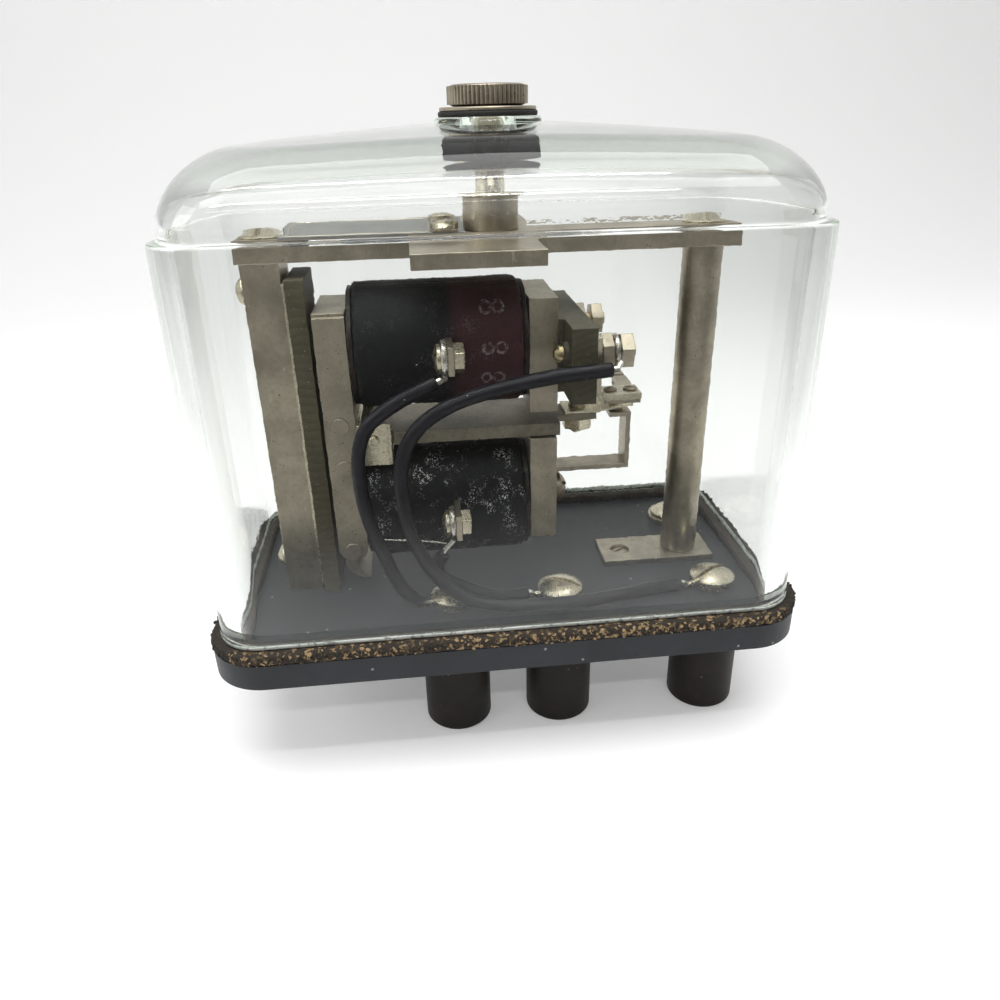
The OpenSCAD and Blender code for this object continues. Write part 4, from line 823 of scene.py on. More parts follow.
def glass_rings():
    """Rings of the moulded cover from its rim over the dome and back down inside.

    A ring a quarter of a millimetre beside each bend keeps the flat runs flat when they are shaded."""
    glass = settings("relay_glass")
    a, b = GLASS_HIGH[0] / MM, GLASS_HIGH[1] / MM
    rim, boss = GLASS_LOW[2] / MM, GLASS_HIGH[2] / MM
    wall, top, edge = glass.wall / MM, glass.top / MM, glass.edge_round / MM
    near, arc_rise, lean_in = 0.25, 2.0, 0.05
    ledge_z, flat_z = boss - BOSS_H - DOME, boss - BOSS_H - CROWN
    foot = DRAFT + LEDGE
    dome_a, dome_b = a - foot, b - foot
    disc = unit_circle(len(rounded_outline(a, b, GLASS_CORNER)))
    low, high = rim + edge + near, ledge_z - edge - near
    rings = []

    def raised(points, z, lift=0.0):
        ring = []
        for x, y in points:
            rise = (1 - min(1, abs(x) / dome_a) ** 1.5) * (1 - min(1, abs(y) / dome_b) ** 1.5)
            ring.append((x * MM, y * MM, (z + lift * CROWN * rise) * MM))
        rings.append(ring)

    def side(inset, r, z):
        raised(rounded_outline(a - inset, b - inset, r), z)

    def run(inset_at, r, start, end):
        for k in range(12):
            z = start + (end - start) * k / 11
            side(inset_at(z), r, z)

    def blend(flat, r, share, z):
        raised([(p[0] * (1 - share) + r * d[0] * share, p[1] * (1 - share) + r * d[1] * share)
                for p, d in zip(flat, disc)], z, 1.0)

    # Outside: rim, wall, ledge
    for s, c in quarter(4):
        side(edge * (1 - s), GLASS_CORNER - edge * (1 - s), rim + edge * (1 - c))
    run(lambda z: DRAFT * (z - rim - edge) / (ledge_z - rim - 2 * edge), GLASS_CORNER, low, high)
    for s, c in quarter(4):
        side(DRAFT + edge * (1 - c), GLASS_CORNER - edge * (1 - c), ledge_z - edge * (1 - s))
    fillet = edge * 0.8
    side(DRAFT + edge + near * 0.5, GLASS_CORNER - edge, ledge_z)
    side(foot - fillet - near * 0.5, GLASS_CORNER - edge * 0.5, ledge_z)
    for s, c in quarter(4):
        side(foot - fillet * (1 - s), GLASS_CORNER, ledge_z + fillet * (1 - c))

    # Outside: dome and raised ring
    for up in (fillet + near, arc_rise - near):
        side(foot + lean_in * up, GLASS_CORNER, ledge_z + up)
    arc_h = flat_z - ledge_z - arc_rise
    for k, (s, c) in enumerate(quarter(18)):
        up = arc_rise + arc_h * s
        inset = (SHOULDER - lean_in * (arc_h + arc_rise)) * (1 - c) + lean_in * up
        corner = GLASS_CORNER + (TOP_R - GLASS_CORNER) * k / 18
        raised(rounded_outline(dome_a - inset, dome_b - inset, corner), ledge_z + up, s)
    flat = rounded_outline(dome_a - SHOULDER, dome_b - SHOULDER, TOP_R)
    for k in range(1, 13):
        blend(flat, BOSS_R, k / 12, flat_z)
    for r, z in ((BOSS_R - 0.15, boss - 0.35), (BOSS_R - 0.45, boss - 0.06), (BOSS_R - 0.9, boss),
                 (HOLE_R + 0.5, boss), (HOLE_R, boss - 0.5), (HOLE_R, boss - top + 0.6)):
        rings.append([(r * x * MM, r * y * MM, z * MM) for x, y in disc])

    # Inside: dome, wall, rim
    inner_flat, inner_arc, arc_in = boss - top - CROWN, ledge_z + glass.arc_rise / MM, glass.arc_in / MM
    inner_a, inner_b, inner_r = a - wall - DRAFT, b - wall - DRAFT, GLASS_CORNER - wall * 0.6
    flat = rounded_outline(inner_a - arc_in, inner_b - arc_in, TOP_R - wall * 0.6)
    for k in range(12, 0, -1):
        blend(flat, HOLE_R, k / 12, inner_flat)
    for k, (s, c) in reversed(list(enumerate(quarter(18)))):
        inset = arc_in * (1 - c)
        corner = inner_r + (TOP_R - GLASS_CORNER) * k / 18
        z = inner_arc + (inner_flat - inner_arc) * s
        raised(rounded_outline(inner_a - inset, inner_b - inset, corner), z, s)
    run(lambda z: wall + DRAFT * (z - low) / (inner_arc - low), inner_r, inner_arc - near, low)
    for s, c in quarter(4):
        side(wall - edge * (1 - c), inner_r, rim + edge * (1 - s))
    return rings


def ground_highlight_rings():
    """Rings of the thin whitish strip round the foot of the glass: a ground foot that also carries a painted
    highlight along the rim.
    """
    a, b, rim = GLASS_HIGH[0] / MM, GLASS_HIGH[1] / MM, GLASS_LOW[2] / MM
    rings = []
    for inset, z in ((0.5, 0.03), (0.02, 0.35), (-0.1, 0.8), (-0.1, 1.15), (0.3, 1.3), (0.75, 0.8),
                     (0.9, 0.1)):
        rings.append([(x * MM, y * MM, (rim + z + 0.12 * noise.noise(Vector((x, y, 3.0)) * 0.35)) * MM)
                      for x, y in rounded_outline(a - inset, b - inset, GLASS_CORNER - inset)])
    return rings


class RELAY_OT_glass_cover(bpy.types.Operator):
    """Build the moulded glass cover with its ledge, dome, raised ring and ground foot, whose whitish strip is
    partly a painted highlight
    """
    bl_idname = "relay.glass_cover"
    bl_label = "Glass Cover"

    def execute(self, context):
        mesh = loft("glass_cover_moulded", glass_rings())
        # Without a seed the offsets of noise_vector follow the clock
        noise.seed_set(4)
        work = opened(mesh)
        for v in work.verts:
            drift = noise.noise_vector(v.co * 22) * 0.05 * MM
            v.co.x += drift.x
            v.co.y += drift.y
        closed(work, mesh)
        shade(mesh, 60)
        new_piece("glass_cover_moulded", mesh, "Cover Glass", "cover", "glass_cover")
        # The foot strip's whitish colour is partly a painted highlight along the rim.
        foot = loft("glass_foot_ground", ground_highlight_rings())
        shade(foot, 50)
        new_piece("glass_foot_ground", foot, "Ground Glass", "cover", None)
        return {"FINISHED"}


# Washers and thumb nut

def flutes_tree():
    """Ribs round a cylinder: count, radius, length and width are named inputs."""
    tree, given = new_tree("Nut Flutes", False, {
        "Count": 56, "Radius": 0.009, "Length": 0.003, "Width": 0.0004, "Height": 0.16})
    circle = add(tree, "GeometryNodeMeshCircle", None,
                 {"Vertices": given["Count"], "Radius": given["Radius"]})
    lifted = add(tree, "ShaderNodeCombineXYZ", None, {2: given["Height"]})
    placed = add(tree, "GeometryNodeTransform", None,
                 {"Geometry": circle.outputs[0], "Translation": lifted.outputs[0]})
    rib = add(tree, "GeometryNodeMeshCylinder", None,
              {"Vertices": 10, "Radius": given["Width"], "Depth": given["Length"]})
    return set_on_points(tree, given, placed.outputs[0], rib.outputs["Mesh"], {})


class RELAY_OT_cap(bpy.types.Operator):
    """Build the rubber washer, the metal washer and the fluted thumb nut"""
    bl_idname = "relay.cap"
    bl_label = "Washers and Thumb Nut"

    def execute(self, context):
        rounded("rubber_washer", "Rubber", 1.4, "cover")
        rounded("cap_washer", "Aged Nickel Level", 1.2, "cap")
        low, high = NUT_LOW[2], NUT_HIGH[2]
        r = NUT_HIGH[0] - 0.55 * MM
        bore, bore_top = 3.55 * MM, high - 1.0 * MM
        profile = [
            (0.0, bore_top), (bore, bore_top), (bore, low + 0.02 * MM), (r - 1.2 * MM, low + 0.02 * MM),
            (r - 0.35 * MM, low + 0.4 * MM), (r, low + 0.9 * MM), (r, high - 0.8 * MM),
            (r - 0.3 * MM, high - 0.25 * MM), (r - 1.0 * MM, high), (r - 1.6 * MM, high),
            (r - 1.9 * MM, high - 0.12 * MM), (0.0, high - 0.12 * MM),
        ]
        mesh = faced_outward(loft("thumb_nut_turned", turned_rings(profile, steps=112, least=1e-5), True))
        shade(mesh, 28)
        new_piece("thumb_nut_turned", mesh, "Worn Nut", "thumb_nut", "thumb_nut")
        count = settings("relay_metal").flutes
        ribs = run_tree("thumb_nut_flutes", flutes_tree(), {
            "Count": count, "Radius": r - 0.12 * MM, "Length": high - low - 0.9 * MM,
            "Width": math.pi * r / count * 0.98, "Height": (low + high) / 2 + 0.05 * MM}, "Worn Nut")
        shade(ribs.data, 40)
        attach(ribs, "thumb_nut")
        return {"FINISHED"}


# Base, gasket and feet

def grains_tree():
    """Cork grains scattered on a surface, from one seed."""
    tree, given = new_tree("Cork Grains", True, {"Density": 90000.0, "Size": 0.0006, "Seed": 7})
    spots = scattered(tree, given)
    lump = add(tree, "GeometryNodeMeshIcoSphere", None, {"Radius": given["Size"], "Subdivisions": 1})
    return set_on_points(tree, given, spots["Points"], lump.outputs["Mesh"], {
        "Rotation": random_vector(tree, (0, 0, 0), (6.28, 6.28, 6.28), 3),
        "Scale": random_vector(tree, (0.4, 0.4, 0.3), (1.3, 1.0, 0.8), 5)})


def gasket_mesh():
    """The gasket ring, its cut edges uneven."""
    a, b = GASKET_HIGH[0] / MM, GASKET_HIGH[1] / MM
    low, high = GASKET_LOW[2] / MM, GASKET_HIGH[2] / MM
    outer_r, width, round_off = 14.0, 8.0, 0.3
    plan = [(0.25, low), (0.0, low + round_off)]
    plan += [(0.0, low + round_off + (high - low - 2 * round_off) * k / 5) for k in range(1, 6)]
    plan += [(round_off, high), (width - round_off, high), (width, high - round_off), (width, low + 0.2),
             (width - round_off, low)]
    rings = []
    for inset, z in plan:
        ring = []
        for x, y in rounded_outline(a - inset, b - inset, outer_r - inset * 0.9,
                                    corner=18, long_side=110, short_side=56):
            p = Vector((x, y, z))
            rough = 0.22 * noise.noise(p * 0.9) + 0.14 * noise.noise(p * 2.3)
            scale = 1
            if inset < 1:
                scale = 1 + (rough - 0.12) / 60
            elif inset > width - 1:
                scale = 1 + rough / 60
            ring.append((x * scale * MM, y * scale * MM, z * MM))
        rings.append(ring)
    return loft("cork_gasket_cut", rings)


def bears_no_grains(face):
    """True for the gasket's top, underside and inner faces."""
    x, y, _ = (abs(c) for c in face.calc_center_median())
    a, b = GASKET_HIGH[0], GASKET_HIGH[1]
    corner, rough, ring = 14.8 * MM, 0.8 * MM, 7 * MM
    return (abs(face.normal.z) > 0.6 or (x < a - corner and y < b - rough)
            or (x < a - ring and y < b - ring))


class RELAY_OT_base(bpy.types.Operator):
    """Build the enamelled base, the cork gasket, the feet and the washers on the base"""
    bl_idname = "relay.base"
    bl_label = "Base, Gasket and Feet"

    def execute(self, context):
        rounded("base_plate", "Base Enamel", 4.0, steps=4)
        rounded("insulating_feet", "Moulded Feet", 1.6)
        rounded("foot_inserts", "Dull Brass", 0.8)
        rounded("terminal_washers", "Aged Nickel Level", 0.8)
        mesh = gasket_mesh()
        shade(mesh, 60)
        new_piece("cork_gasket_cut", mesh, "Cork Sheet", "frame", "cork_gasket")
        band = mesh.copy()
        work = opened(band)
        bmesh.ops.delete(work, geom=[f for f in work.faces if bears_no_grains(f)], context="FACES")
        area = sum(f.calc_area() for f in work.faces)
        closed(work, band)
        grains = run_tree("cork_gasket_grains", grains_tree(), {
            "Density": settings("relay_base").grains / area, "Size": 0.62 * MM, "Seed": 7},
            "Cork Grains", band)
        shade(grains.data, 25)
        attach(grains, "frame")
        return {"FINISHED"}


def screw_head(name, across, height, slot):
    """A round slotted head standing on z = 0, its edge and slot softened."""
    r, cap = across / 2, height * 0.6
    ball = (r * r + cap * cap) / (2 * cap)
    profile = [(0.0, 0.0), (r - 0.1 * MM, 0.0), (r, 0.12 * MM), (r, height * 0.4)]
    for k in range(1, 9):
        away = r * (1 - k / 9)
        profile.append((away, height - ball + math.sqrt(max(ball * ball - away * away, 0))))
    profile.append((0.0, height))
    mesh = loft(name, turned_rings(profile, steps=64, least=1e-6), True)
    work = opened(mesh)
    bmesh.ops.remove_doubles(work, verts=work.verts, dist=5e-6)
    bmesh.ops.recalc_face_normals(work, faces=work.faces)
    head = new_object(name, closed(work, mesh))
    work = bmesh.new()
    bmesh.ops.create_cube(work, size=1.0)
    bmesh.ops.scale(work, vec=(across * 1.2, slot, height), verts=work.verts)
    bmesh.ops.translate(work, vec=(0, 0, height * 0.84), verts=work.verts)
    cutter = new_object("slot_cut", closed(work, bpy.data.meshes.new("slot_cut")))
    cut = head.modifiers.new("Slot", "BOOLEAN")
    cut.operation = "DIFFERENCE"
    cut.object = cutter
    cut.solver = "EXACT"
    add_bevel(head, 0.14 * MM, 2, 40)
    bpy.context.view_layer.update()
    apply_modifiers(head)
    bpy.data.objects.remove(cutter)
    return head


def screws_tree():
    """Screws set at the points of a mesh, each turned by its own amount."""
    tree, given = new_tree("Set Screws", True, {"Screw": None, "Size": 1.0})
    shape = add(tree, "GeometryNodeObjectInfo", None, {"Object": given["Screw"]})
    turn = add(tree, "GeometryNodeInputNamedAttribute", {"data_type": "FLOAT"}, {"Name": "turn"})
    turned = add(tree, "ShaderNodeCombineXYZ", None, {2: turn.outputs[0]})
    return set_on_points(tree, given, given["Geometry"], shape.outputs["Geometry"],
                         {"Rotation": turned.outputs[0], "Scale": given["Size"]})


class RELAY_OT_terminals(bpy.types.Operator):
    """Set the slotted terminal screws on the base"""
    bl_idname = "relay.terminals"
    bl_label = "Terminal Screws"

    def execute(self, context):
        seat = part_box("terminal_screws")[1][2] - TERMINAL_H
        head = screw_head("terminal_head", TERMINAL_D, TERMINAL_H, TERMINAL_SLOT)
        spots = bpy.data.meshes.new("terminal_screw_heads")
        spots.from_pydata([(x * MM, y * MM, seat) for x, y, _ in TERMINALS], [], [])
        turns = spots.attributes.new("turn", "FLOAT", "POINT")
        for i, spot in enumerate(TERMINALS):
            turns.data[i].value = math.radians(spot[2])
        made = run_tree("terminal_screw_heads", screws_tree(), {"Screw": head, "Size": 1.0},
                        "Bright Nickel", spots)
        bpy.data.objects.remove(head)
        shade(made.data, 45)
        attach(made, "frame")
        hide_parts("terminal_screws")
        return {"FINISHED"}


# Frame, magnet, armature and contacts: node, finish, slot, share of the edge rounding

FRAME_PARTS = [
    ("upright", "Aged Nickel Upright", "nickel", 1.4),
    ("board_strip", "Bright Nickel", "pale_nickel", 0.5),
    ("board_screws", "Bright Nickel", "pale_nickel", 0.7),
    ("post_foot", "Aged Nickel Level", "nickel", 1.2),
    ("round_post", "Aged Nickel Upright", "nickel", 1.4),
    ("foot_screw", "Aged Nickel Level", "nickel", 0.5),
    ("top_plate", "Aged Nickel Level", "nickel", 1.2),
    ("top_plate_screws", "Bright Nickel", "nickel", 0.8),
    ("cover_pillar", "Aged Nickel Upright", "nickel", 1.6),
    ("pillar_collar", "Bright Nickel", "pale_nickel", 1.0),
    ("cover_stud", "Bright Nickel", "nickel", 1.6),
    ("nameplate_clamp", "Aged Nickel Level", "nickel", 0.7),
    ("nameplate_screws", "Bright Nickel", "brass", 0.6),
]
MAGNET_PARTS = [
    ("yoke_upper", "Magnet Iron", "magnet_iron", 1.8),
    ("yoke_lower", "Magnet Iron", "magnet_iron", 1.0),
    ("yoke_rivets", "Magnet Iron", "nickel", 0.6),
    ("yoke_lug", "Magnet Iron", "nickel", 1.2),
    ("upper_pole", "Magnet Iron", "magnet_iron", 1.8),
    ("lower_pole", "Magnet Iron", "magnet_iron", 1.8),
    ("pole_screws", "Aged Nickel Level", "nickel", 0.8),
    ("coil_tabs", "Aged Nickel Level", "pale_nickel", 0.6),
    ("coil_terminal_screws", "Bright Nickel", "pale_nickel", 0.9),
    ("coil_terminal_nuts", "Bright Nickel", "brass", 1.2),
    ("upper_bobbin", "Moulded Feet", "fibre", 0.8),
    ("lower_bobbin", "Moulded Feet", "fibre", 0.8),
]
CONTACT_PARTS = [
    ("pivot_strap", "Bright Nickel", "pale_nickel", 0.8),
    ("pivot_pin", "Bright Nickel", "pale_nickel", 1.0),
    ("contact_bolts", "Dull Brass", "brass", 0.8),
    ("contact_nuts", "Aged Nickel Level", "pale_nickel", 1.4),
    ("contact_brackets", "Bright Nickel", "pale_nickel", 0.8),
    ("fixed_contacts", "Aged Nickel Level", "brass", 0.4),
    ("stop_strip", "Aged Nickel Level", "nickel", 1.0),
]
ARMATURE_PARTS = [
    ("armature", "Dark Iron", "nickel", 1.2),
    ("clamp_screw", "Bright Nickel", "pale_nickel", 0.7),
    ("clamp_nut", "Bright Nickel", "pale_nickel", 1.2),
    ("moving_contact", "Bright Nickel", "pale_nickel", 0.5),
]


def finish_parts(parts, body="frame"):
    for node, finish, slot, width in parts:
        rounded(node, finish, width, body)


class RELAY_OT_frame_metal(bpy.types.Operator):
    """Finish the upright, the post, the top plate, the pillar and their screws"""
    bl_idname = "relay.frame_metal"
    bl_label = "Frame"

    def execute(self, context):
        finish_parts(FRAME_PARTS)
        paint_nodes(["frame_bolts"], "Aged Nickel Level")
        return {"FINISHED"}


class RELAY_OT_magnet(bpy.types.Operator):
    """Finish the yoke, the pole plates, the bobbins and the coil terminals"""
    bl_idname = "relay.magnet"
    bl_label = "Magnet"

    def execute(self, context):
        finish_parts(MAGNET_PARTS)
        paint_nodes(["upper_core", "lower_core", "yoke_screws", "yoke_spacers"], "Magnet Iron")
        return {"FINISHED"}


class RELAY_OT_contacts(bpy.types.Operator):
    """Finish the armature, the contact block and all that it carries"""
    bl_idname = "relay.contacts"
    bl_label = "Armature and Contacts"

    def execute(self, context):
        finish_parts(CONTACT_PARTS)
        finish_parts(ARMATURE_PARTS, "armature")
        rounded("contact_block", "Fibre Block", 1.8)
        paint_nodes(["block_screws"], "Aged Nickel Level")
        paint_nodes(["bare_wires"], "Bare Wire")
        return {"FINISHED"}


class RELAY_OT_board(bpy.types.Operator):
    """Finish the sawn fibre board"""
    bl_idname = "relay.board"
    bl_label = "Insulating Board"

    def execute(self, context):
        rounded("insulating_board", "Fibre Board", 1.2)
        return {"FINISHED"}


class RELAY_OT_nameplate(bpy.types.Operator):
    """Build the bare nameplate with its raised border"""
    bl_idname = "relay.nameplate"
    bl_label = "Nameplate"

    def execute(self, context):
        rounded("nameplate", "Etched Plate", 0.8)
        low, high = LABEL_LOW, LABEL_HIGH
        cx, cy = (low[0] + high[0]) / 2 - 3.4 * MM, (low[1] + high[1]) / 2
        a, b = (high[0] - low[0]) / 2 - 4.6 * MM, (high[1] - low[1]) / 2 - 1.2 * MM
        rings = []
        for inset, up in ((0.0, -0.05), (0.1, 0.14), (0.55, 0.14), (0.65, -0.05)):
            points = rounded_outline(a / MM - inset, b / MM - inset, 1.2,
                                     corner=6, long_side=2, short_side=2)
            rings.append([(cx + x * MM, cy + y * MM, high[2] + up * MM) for x, y in points])
        mesh = loft("nameplate_border", rings)
        shade(mesh, 30)
        new_piece("nameplate_border", mesh, "Aged Nickel Level", "frame", None)
        return {"FINISHED"}


# Coils

def tape_mesh(name, box, seed):
    """A taped winding: laps of tape with uneven edges, rolled over at both ends."""
    low, high = box
    x0, x1 = low[0], high[0]
    cz, radius = (low[2] + high[2]) / 2, (high[2] - low[2]) / 2
    around, rows, bore = 144, 64, 7.25 * MM
    rolled, roll_depth, lap_depth, under_tape = 1.4 * MM, 0.85 * MM, 0.16 * MM, 0.42 * MM
    shift = Vector((seed * 3.1, seed * 1.7, seed * 0.9))
    turns = [math.tau * k / around for k in range(around)]
    rings = [[(x0 + 0.1 * MM, bore * math.cos(t), cz + bore * math.sin(t)) for t in turns]]
    for i in range(rows + 1):
        f = i / rows
        x = x0 + (x1 - x0) * f
        edge = min(f, 1 - f) * (x1 - x0)
        roll = 0.0
        if edge < rolled:
            roll = roll_depth * (1 - math.sqrt(max(0.0, 1 - (1 - edge / rolled) ** 2)))
        ring = []
        for t in turns:
            p = Vector((x / MM * 0.16, math.cos(t) * 2.4, math.sin(t) * 2.4)) + shift
            lap = lap_depth if (t + 0.6 * math.sin(7 * f + seed) * 0.05) % math.tau < 1.9 else 0.0
            lump = 0.20 * noise.noise(p) + 0.10 * noise.noise(p * 3.1) + 0.08 * noise.noise(p * 11.0)
            crease = 0.10 * math.sin(t * 2 + 3.0 * f + seed) ** 8
            ragged = 0.33 * noise.noise(Vector((t * 5, seed, f * 2))) if edge < 0.6 * MM else 0.0
            r = radius - under_tape + lap + (lump - crease) * MM - roll
            ring.append((x + ragged * MM, r * math.cos(t), cz + r * math.sin(t)))
        rings.append(ring)
    rings.append([(x1 - 0.1 * MM, y, z) for _, y, z in rings[0]])
    mesh = faced_outward(loft(name, rings))
    shade(mesh, 50)
    return mesh


def fuzz_tree():
    """Loose threads that stand off the tape."""
    tree, given = new_tree("Tape Threads", True, {
        "Density": 90000.0, "Length": 0.0009, "Width": 0.00006, "Seed": 2})
    spots = scattered(tree, given)
    thread = add(tree, "GeometryNodeMeshCone", None,
                 {"Vertices": 4, "Radius Top": 0.00001, "Radius Bottom": given["Width"],
                  "Depth": given["Length"]})
    lean = random_vector(tree, (-1.2, -1.2, 0), (1.2, 1.2, 6.28), 4)
    turned = add(tree, "FunctionNodeEulerToRotation", None, {0: lean})
    tilted = add(tree, "FunctionNodeRotateRotation", {"rotation_space": "LOCAL"},
                 {0: spots["Rotation"], 1: turned.outputs[0]})
    size = add(tree, "FunctionNodeRandomValue", {"data_type": "FLOAT"}, {2: 0.3, 3: 1.0, "Seed": 6})
    return set_on_points(tree, given, spots["Points"], thread.outputs["Mesh"],
                         {"Rotation": tilted.outputs[0], "Scale": size.outputs[1]})


class RELAY_OT_coils(bpy.types.Operator):
    """Build the two taped windings with their loose threads"""
    bl_idname = "relay.coils"
    bl_label = "Windings"

    def execute(self, context):
        tree = fuzz_tree()
        for node, box, finish, slot, seed in (
                ("upper_winding", UPPER_COIL, "Upper Tape", "tape_maroon", 1),
                ("lower_winding", LOWER_COIL, "Lower Tape", "tape_black", 2)):
            mesh = tape_mesh(node + "_taped", box, seed)
            new_piece(node + "_taped", mesh, finish, "frame", node)
            area = sum(p.area for p in mesh.polygons)
            threads = run_tree(node + "_threads", tree, {
                "Density": settings("relay_coils").fuzz / area, "Length": 0.8 * MM, "Width": 0.05 * MM,
                "Seed": seed}, finish, mesh.copy())
            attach(threads, "frame")
        return {"FINISHED"}


# Leads

class RELAY_OT_leads(bpy.types.Operator):
    """Build the sleeved leads and the fine wire end at the lower coil"""
    bl_idname = "relay.leads"
    bl_label = "Leads"

    def execute(self, context):
        radius = settings("relay_leads").across / 2
        cut_end = [(0.55, 0), (0.86, 0), (1.0, 0.12)]
        for name, route, node in (("upper_coil_lead", UPPER_LEAD, "coil_leads"),
                                  ("lower_coil_lead", LOWER_LEAD, "coil_leads"),
                                  ("contact_sleeved_lead", CONTACT_LEAD, "contact_lead")):
            mesh = tube_mesh(name, smooth_route(route), radius, 20, cut_end)
            new_piece(name, mesh, "Lead Sleeving", "frame", node)
        mesh = tube_mesh("coil_start_wire", smooth_route(FINE_WIRE), 0.28 * MM, 8, [(1.0, 0)])
        new_piece("coil_start_wire", mesh, "Bare Wire", "frame", None)
        return {"FINISHED"}


# Stage

def front_mirror(tree, path):
    """One for rays that the glass's front mirrors back at once, nought for all that pass inside."""
    return times(tree, path["Is Singular Ray"], maths(tree, "LESS_THAN", path["Transmission Depth"], 2.5))


def emission(tree, colour, strength=1.0):
    return add(tree, "ShaderNodeEmission", None, {0: colour, 1: strength}).outputs[0]


def floor_finish(colour):
    """A pale floor. The glass mirrors it darker in front, and shows it greyer at both sides."""
    tree, shader = new_finish("Floor", Base_Color=colour, Roughness=0.9, Specular_IOR_Level=0.1)
    path = add(tree, "ShaderNodeLightPath").outputs
    place = split(tree, object_space(tree))
    seen = maths(tree, "MAXIMUM", path["Is Camera Ray"],
                 maths(tree, "MAXIMUM", path["Is Glossy Ray"], path["Is Transmission Ray"]))
    glow = emission(tree, (1, 1, 1, 1), times(tree, seen, 0.20))
    pale = add(tree, "ShaderNodeAddShader", None, {0: shader.outputs[0], 1: glow}).outputs[0]
    beside = ease(tree, maths(tree, "ABSOLUTE", place[0]), 0.16, 0.40)
    inside = times(tree, path["Is Singular Ray"],
                   maths(tree, "GREATER_THAN", path["Transmission Depth"], 1.5))
    dusk = times(tree, times(tree, beside, inside), 0.3)
    both = mix_shaders(tree, dusk, pale, emission(tree, (0.24, 0.26, 0.24, 1)))
    dulled = times(tree, path["Is Glossy Ray"], 0.6)
    front = times(tree, ease(tree, place[1], -0.06, -0.22, 0.0, 0.98),
                  maths(tree, "MAXIMUM", front_mirror(tree, path), dulled))
    shaded = emission(tree, (0.030, 0.028, 0.026, 1))
    tree.links.new(mix_shaders(tree, front, both, shaded), material_output(tree)["Surface"])


def room_light():
    """A pale room: white where the camera looks, darker low down behind the camera."""
    world = bpy.data.worlds.new("Room")
    bpy.context.scene.world = world
    world.use_nodes = True
    tree = world.node_tree
    tree.nodes.clear()
    place = split(tree, add(tree, "ShaderNodeTexCoord").outputs["Generated"])
    ramp = add(tree, "ShaderNodeValToRGB", None,
               {0: blend_value(tree, maths(tree, "MULTIPLY_ADD", place[1], 0.5), 0, 1)})
    for stop, position, colour in zip(ramp.color_ramp.elements, (0.2, 0.6),
                                      ((0.21, 0.205, 0.195, 1), (1, 1, 1, 1))):
        stop.position = position
        stop.color = colour
    path = add(tree, "ShaderNodeLightPath").outputs
    high = ease(tree, place[2], 0.08, 0.3, 0.04, 0.97)
    level = add(tree, "ShaderNodeCombineColor", None, {0: high, 1: high, 2: high})
    mirrored = times(tree, ease(tree, place[1], -0.1, -0.5), front_mirror(tree, path))
    tone = blend_colour(tree, mirrored, ramp.outputs[0], level.outputs[0])
    lit = add(tree, "ShaderNodeBackground", None, {0: tone, 1: 0.8}).outputs[0]
    seen = add(tree, "ShaderNodeBackground", None, {0: (0.97, 0.97, 0.975, 1), 1: 1.0}).outputs[0]
    out = add(tree, "ShaderNodeOutputWorld")
    tree.links.new(mix_shaders(tree, path["Is Camera Ray"], lit, seen), out.inputs["Surface"])


def soft_light(name, place, aim, size_x, size_y, power):
    lamp = bpy.data.lights.new(name, "AREA")
    lamp.shape = "RECTANGLE"
    lamp.size, lamp.size_y = size_x, size_y
    lamp.energy = power
    holder = new_object(name, lamp)
    holder.location = place
    holder.rotation_euler = (Vector(aim) - Vector(place)).to_track_quat("-Z", "Y").to_euler()


def photo_camera(lens):
    """The photograph's own camera: place in metres, turn and slight roll in degrees."""
    stand = (-0.01901, -0.20284, 0.15631)
    yaw, pitch, roll = (math.radians(turn) for turn in (5.563, 25.881, -1.34))
    ahead = Vector((math.sin(yaw) * math.cos(pitch), math.cos(yaw) * math.cos(pitch), -math.sin(pitch)))
    right = Vector((math.cos(yaw), -math.sin(yaw), 0))
    up = right.cross(ahead)
    across = math.cos(roll) * right + math.sin(roll) * up
    upright = -math.sin(roll) * right + math.cos(roll) * up
    eye = bpy.data.cameras.new("Camera")
    eye.sensor_width = 36
    eye.sensor_fit = "HORIZONTAL"
    eye.lens = lens
    eye.clip_start = 0.01
    holder = new_object("Camera", eye)
    holder.matrix_world = Matrix.Translation(stand) @ Matrix((across, upright, -ahead)).transposed().to_4x4()
    bpy.context.scene.camera = holder


def sweep_mesh():
    """A floor that curves up into a backdrop."""
    half_width, bend_y, bend_r, steps = 2.0, 0.5, 0.5, 12
    profile = [(-1.2, 0.0), (bend_y, 0.0)]
    for k in range(1, steps + 1):
        t = math.radians(90 * k / steps)
        profile.append((bend_y + bend_r * math.sin(t), bend_r - bend_r * math.cos(t)))
    profile.append((bend_y + bend_r, 1.6))
    points = [(x, y, z) for y, z in profile for x in (-half_width, half_width)]
    mesh = bpy.data.meshes.new("floor_sweep")
    mesh.from_pydata(points, [], [(i, i + 1, i + 3, i + 2) for i in range(0, len(points) - 2, 2)])
    return mesh


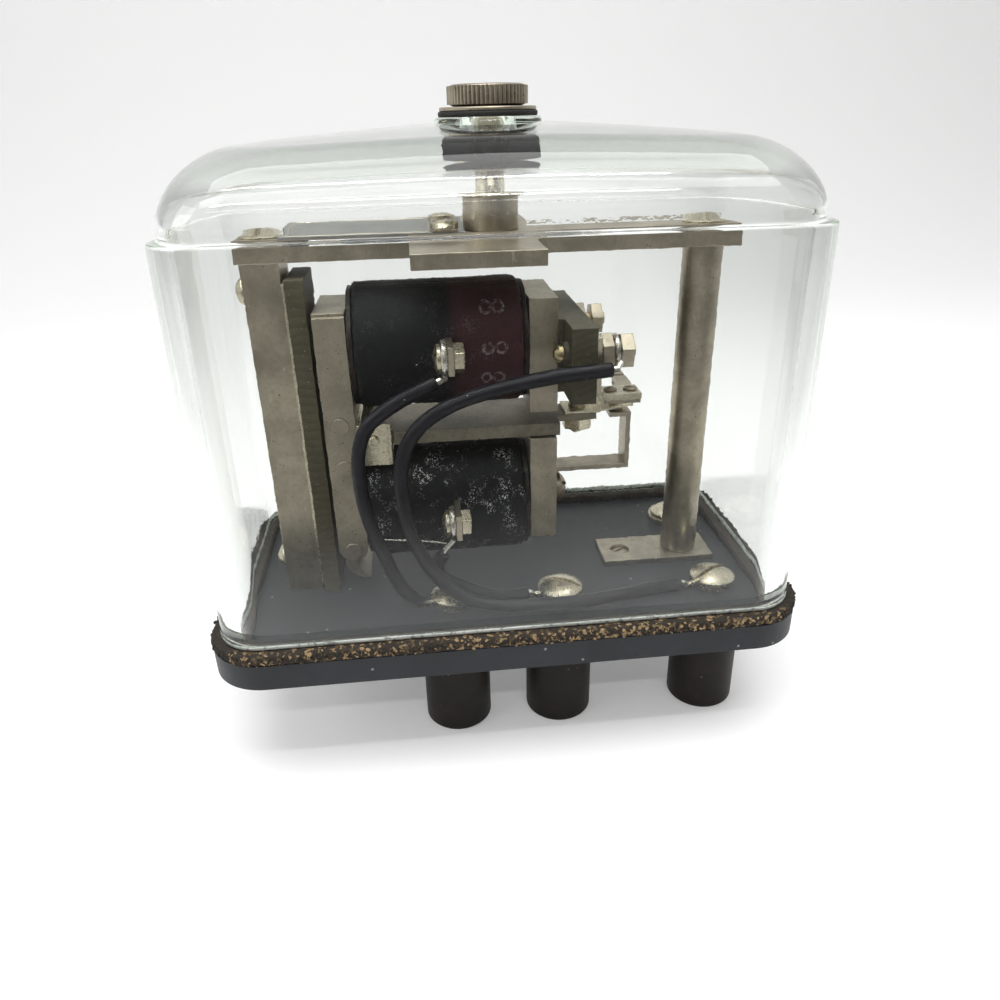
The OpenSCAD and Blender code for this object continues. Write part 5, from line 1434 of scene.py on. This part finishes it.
class RELAY_OT_stage(bpy.types.Operator):
    """Build the floor, the backdrop, the soft lights and the camera"""
    bl_idname = "relay.stage"
    bl_label = "Stage"

    def execute(self, context):
        stage = settings("relay_stage")
        floor_finish(stage.floor)
        mesh = sweep_mesh()
        paint(mesh, "Floor")
        shade(mesh, 60)
        sweep = new_object("floor_sweep", mesh)
        room_light()
        soft_light("Overhead", (0.0, -0.15, 0.95), (0, 0, 0.08), 0.9, 0.5, stage.key)
        soft_light("Window", (-0.75, -0.35, 0.55), (0, 0, 0.08), 0.5, 0.5, stage.key * 0.5)
        soft_light("Upper Strip", (0.0, -0.46, 1.05), (0, 0, 0.15), 0.7, 0.03, stage.key * 0.36)
        soft_light("Lower Strip", (0.0, -0.78, 0.81), (0, 0, 0.15), 0.7, 0.03, stage.key * 0.36)
        photo_camera(stage.lens)
        bpy.context.scene.view_settings.view_transform = "Standard"
        return {"FINISHED"}


class RELAY_PT_panel(bpy.types.Panel):
    """Lists the steps that build the relay"""
    bl_idname = "RELAY_PT_panel"
    bl_label = "Auxiliary Relay"
    bl_space_type = "VIEW_3D"
    bl_region_type = "UI"
    bl_category = "Relay"

    def draw(self, context):
        column = self.layout.column()
        for step in STEPS:
            column.operator(step.bl_idname)
        for name in SETTINGS:
            group = getattr(context.scene, name)
            box = self.layout.box()
            for key in group.__annotations__:
                box.prop(group, key)


SETTINGS = {
    "relay_glass": RelayGlassSettings, "relay_metal": RelayMetalSettings, "relay_coils": RelayCoilSettings,
    "relay_leads": RelayLeadSettings, "relay_base": RelayBaseSettings, "relay_stage": RelayStageSettings,
}
STEPS = [
    RELAY_OT_stage, RELAY_OT_base, RELAY_OT_terminals, RELAY_OT_frame_metal, RELAY_OT_board, RELAY_OT_magnet,
    RELAY_OT_coils, RELAY_OT_contacts, RELAY_OT_leads, RELAY_OT_nameplate, RELAY_OT_cap, RELAY_OT_glass_cover,
]


def register():
    for kind in [*SETTINGS.values(), *STEPS, RELAY_PT_panel]:
        bpy.utils.register_class(kind)
    for name, group in SETTINGS.items():
        setattr(bpy.types.Scene, name, bpy.props.PointerProperty(type=group))


def unregister():
    for name in SETTINGS:
        delattr(bpy.types.Scene, name)
    for kind in reversed([*SETTINGS.values(), *STEPS, RELAY_PT_panel]):
        bpy.utils.unregister_class(kind)


def main():
    register()
    make_groups()
    make_finishes()
    bpy.ops.relay.stage()
    bpy.ops.relay.base()
    bpy.ops.relay.terminals()
    bpy.ops.relay.frame_metal()
    bpy.ops.relay.board()
    bpy.ops.relay.magnet()
    bpy.ops.relay.coils()
    bpy.ops.relay.contacts()
    bpy.ops.relay.leads()
    bpy.ops.relay.nameplate()
    bpy.ops.relay.cap()
    bpy.ops.relay.glass_cover()


if __name__ == "__main__":
    main()
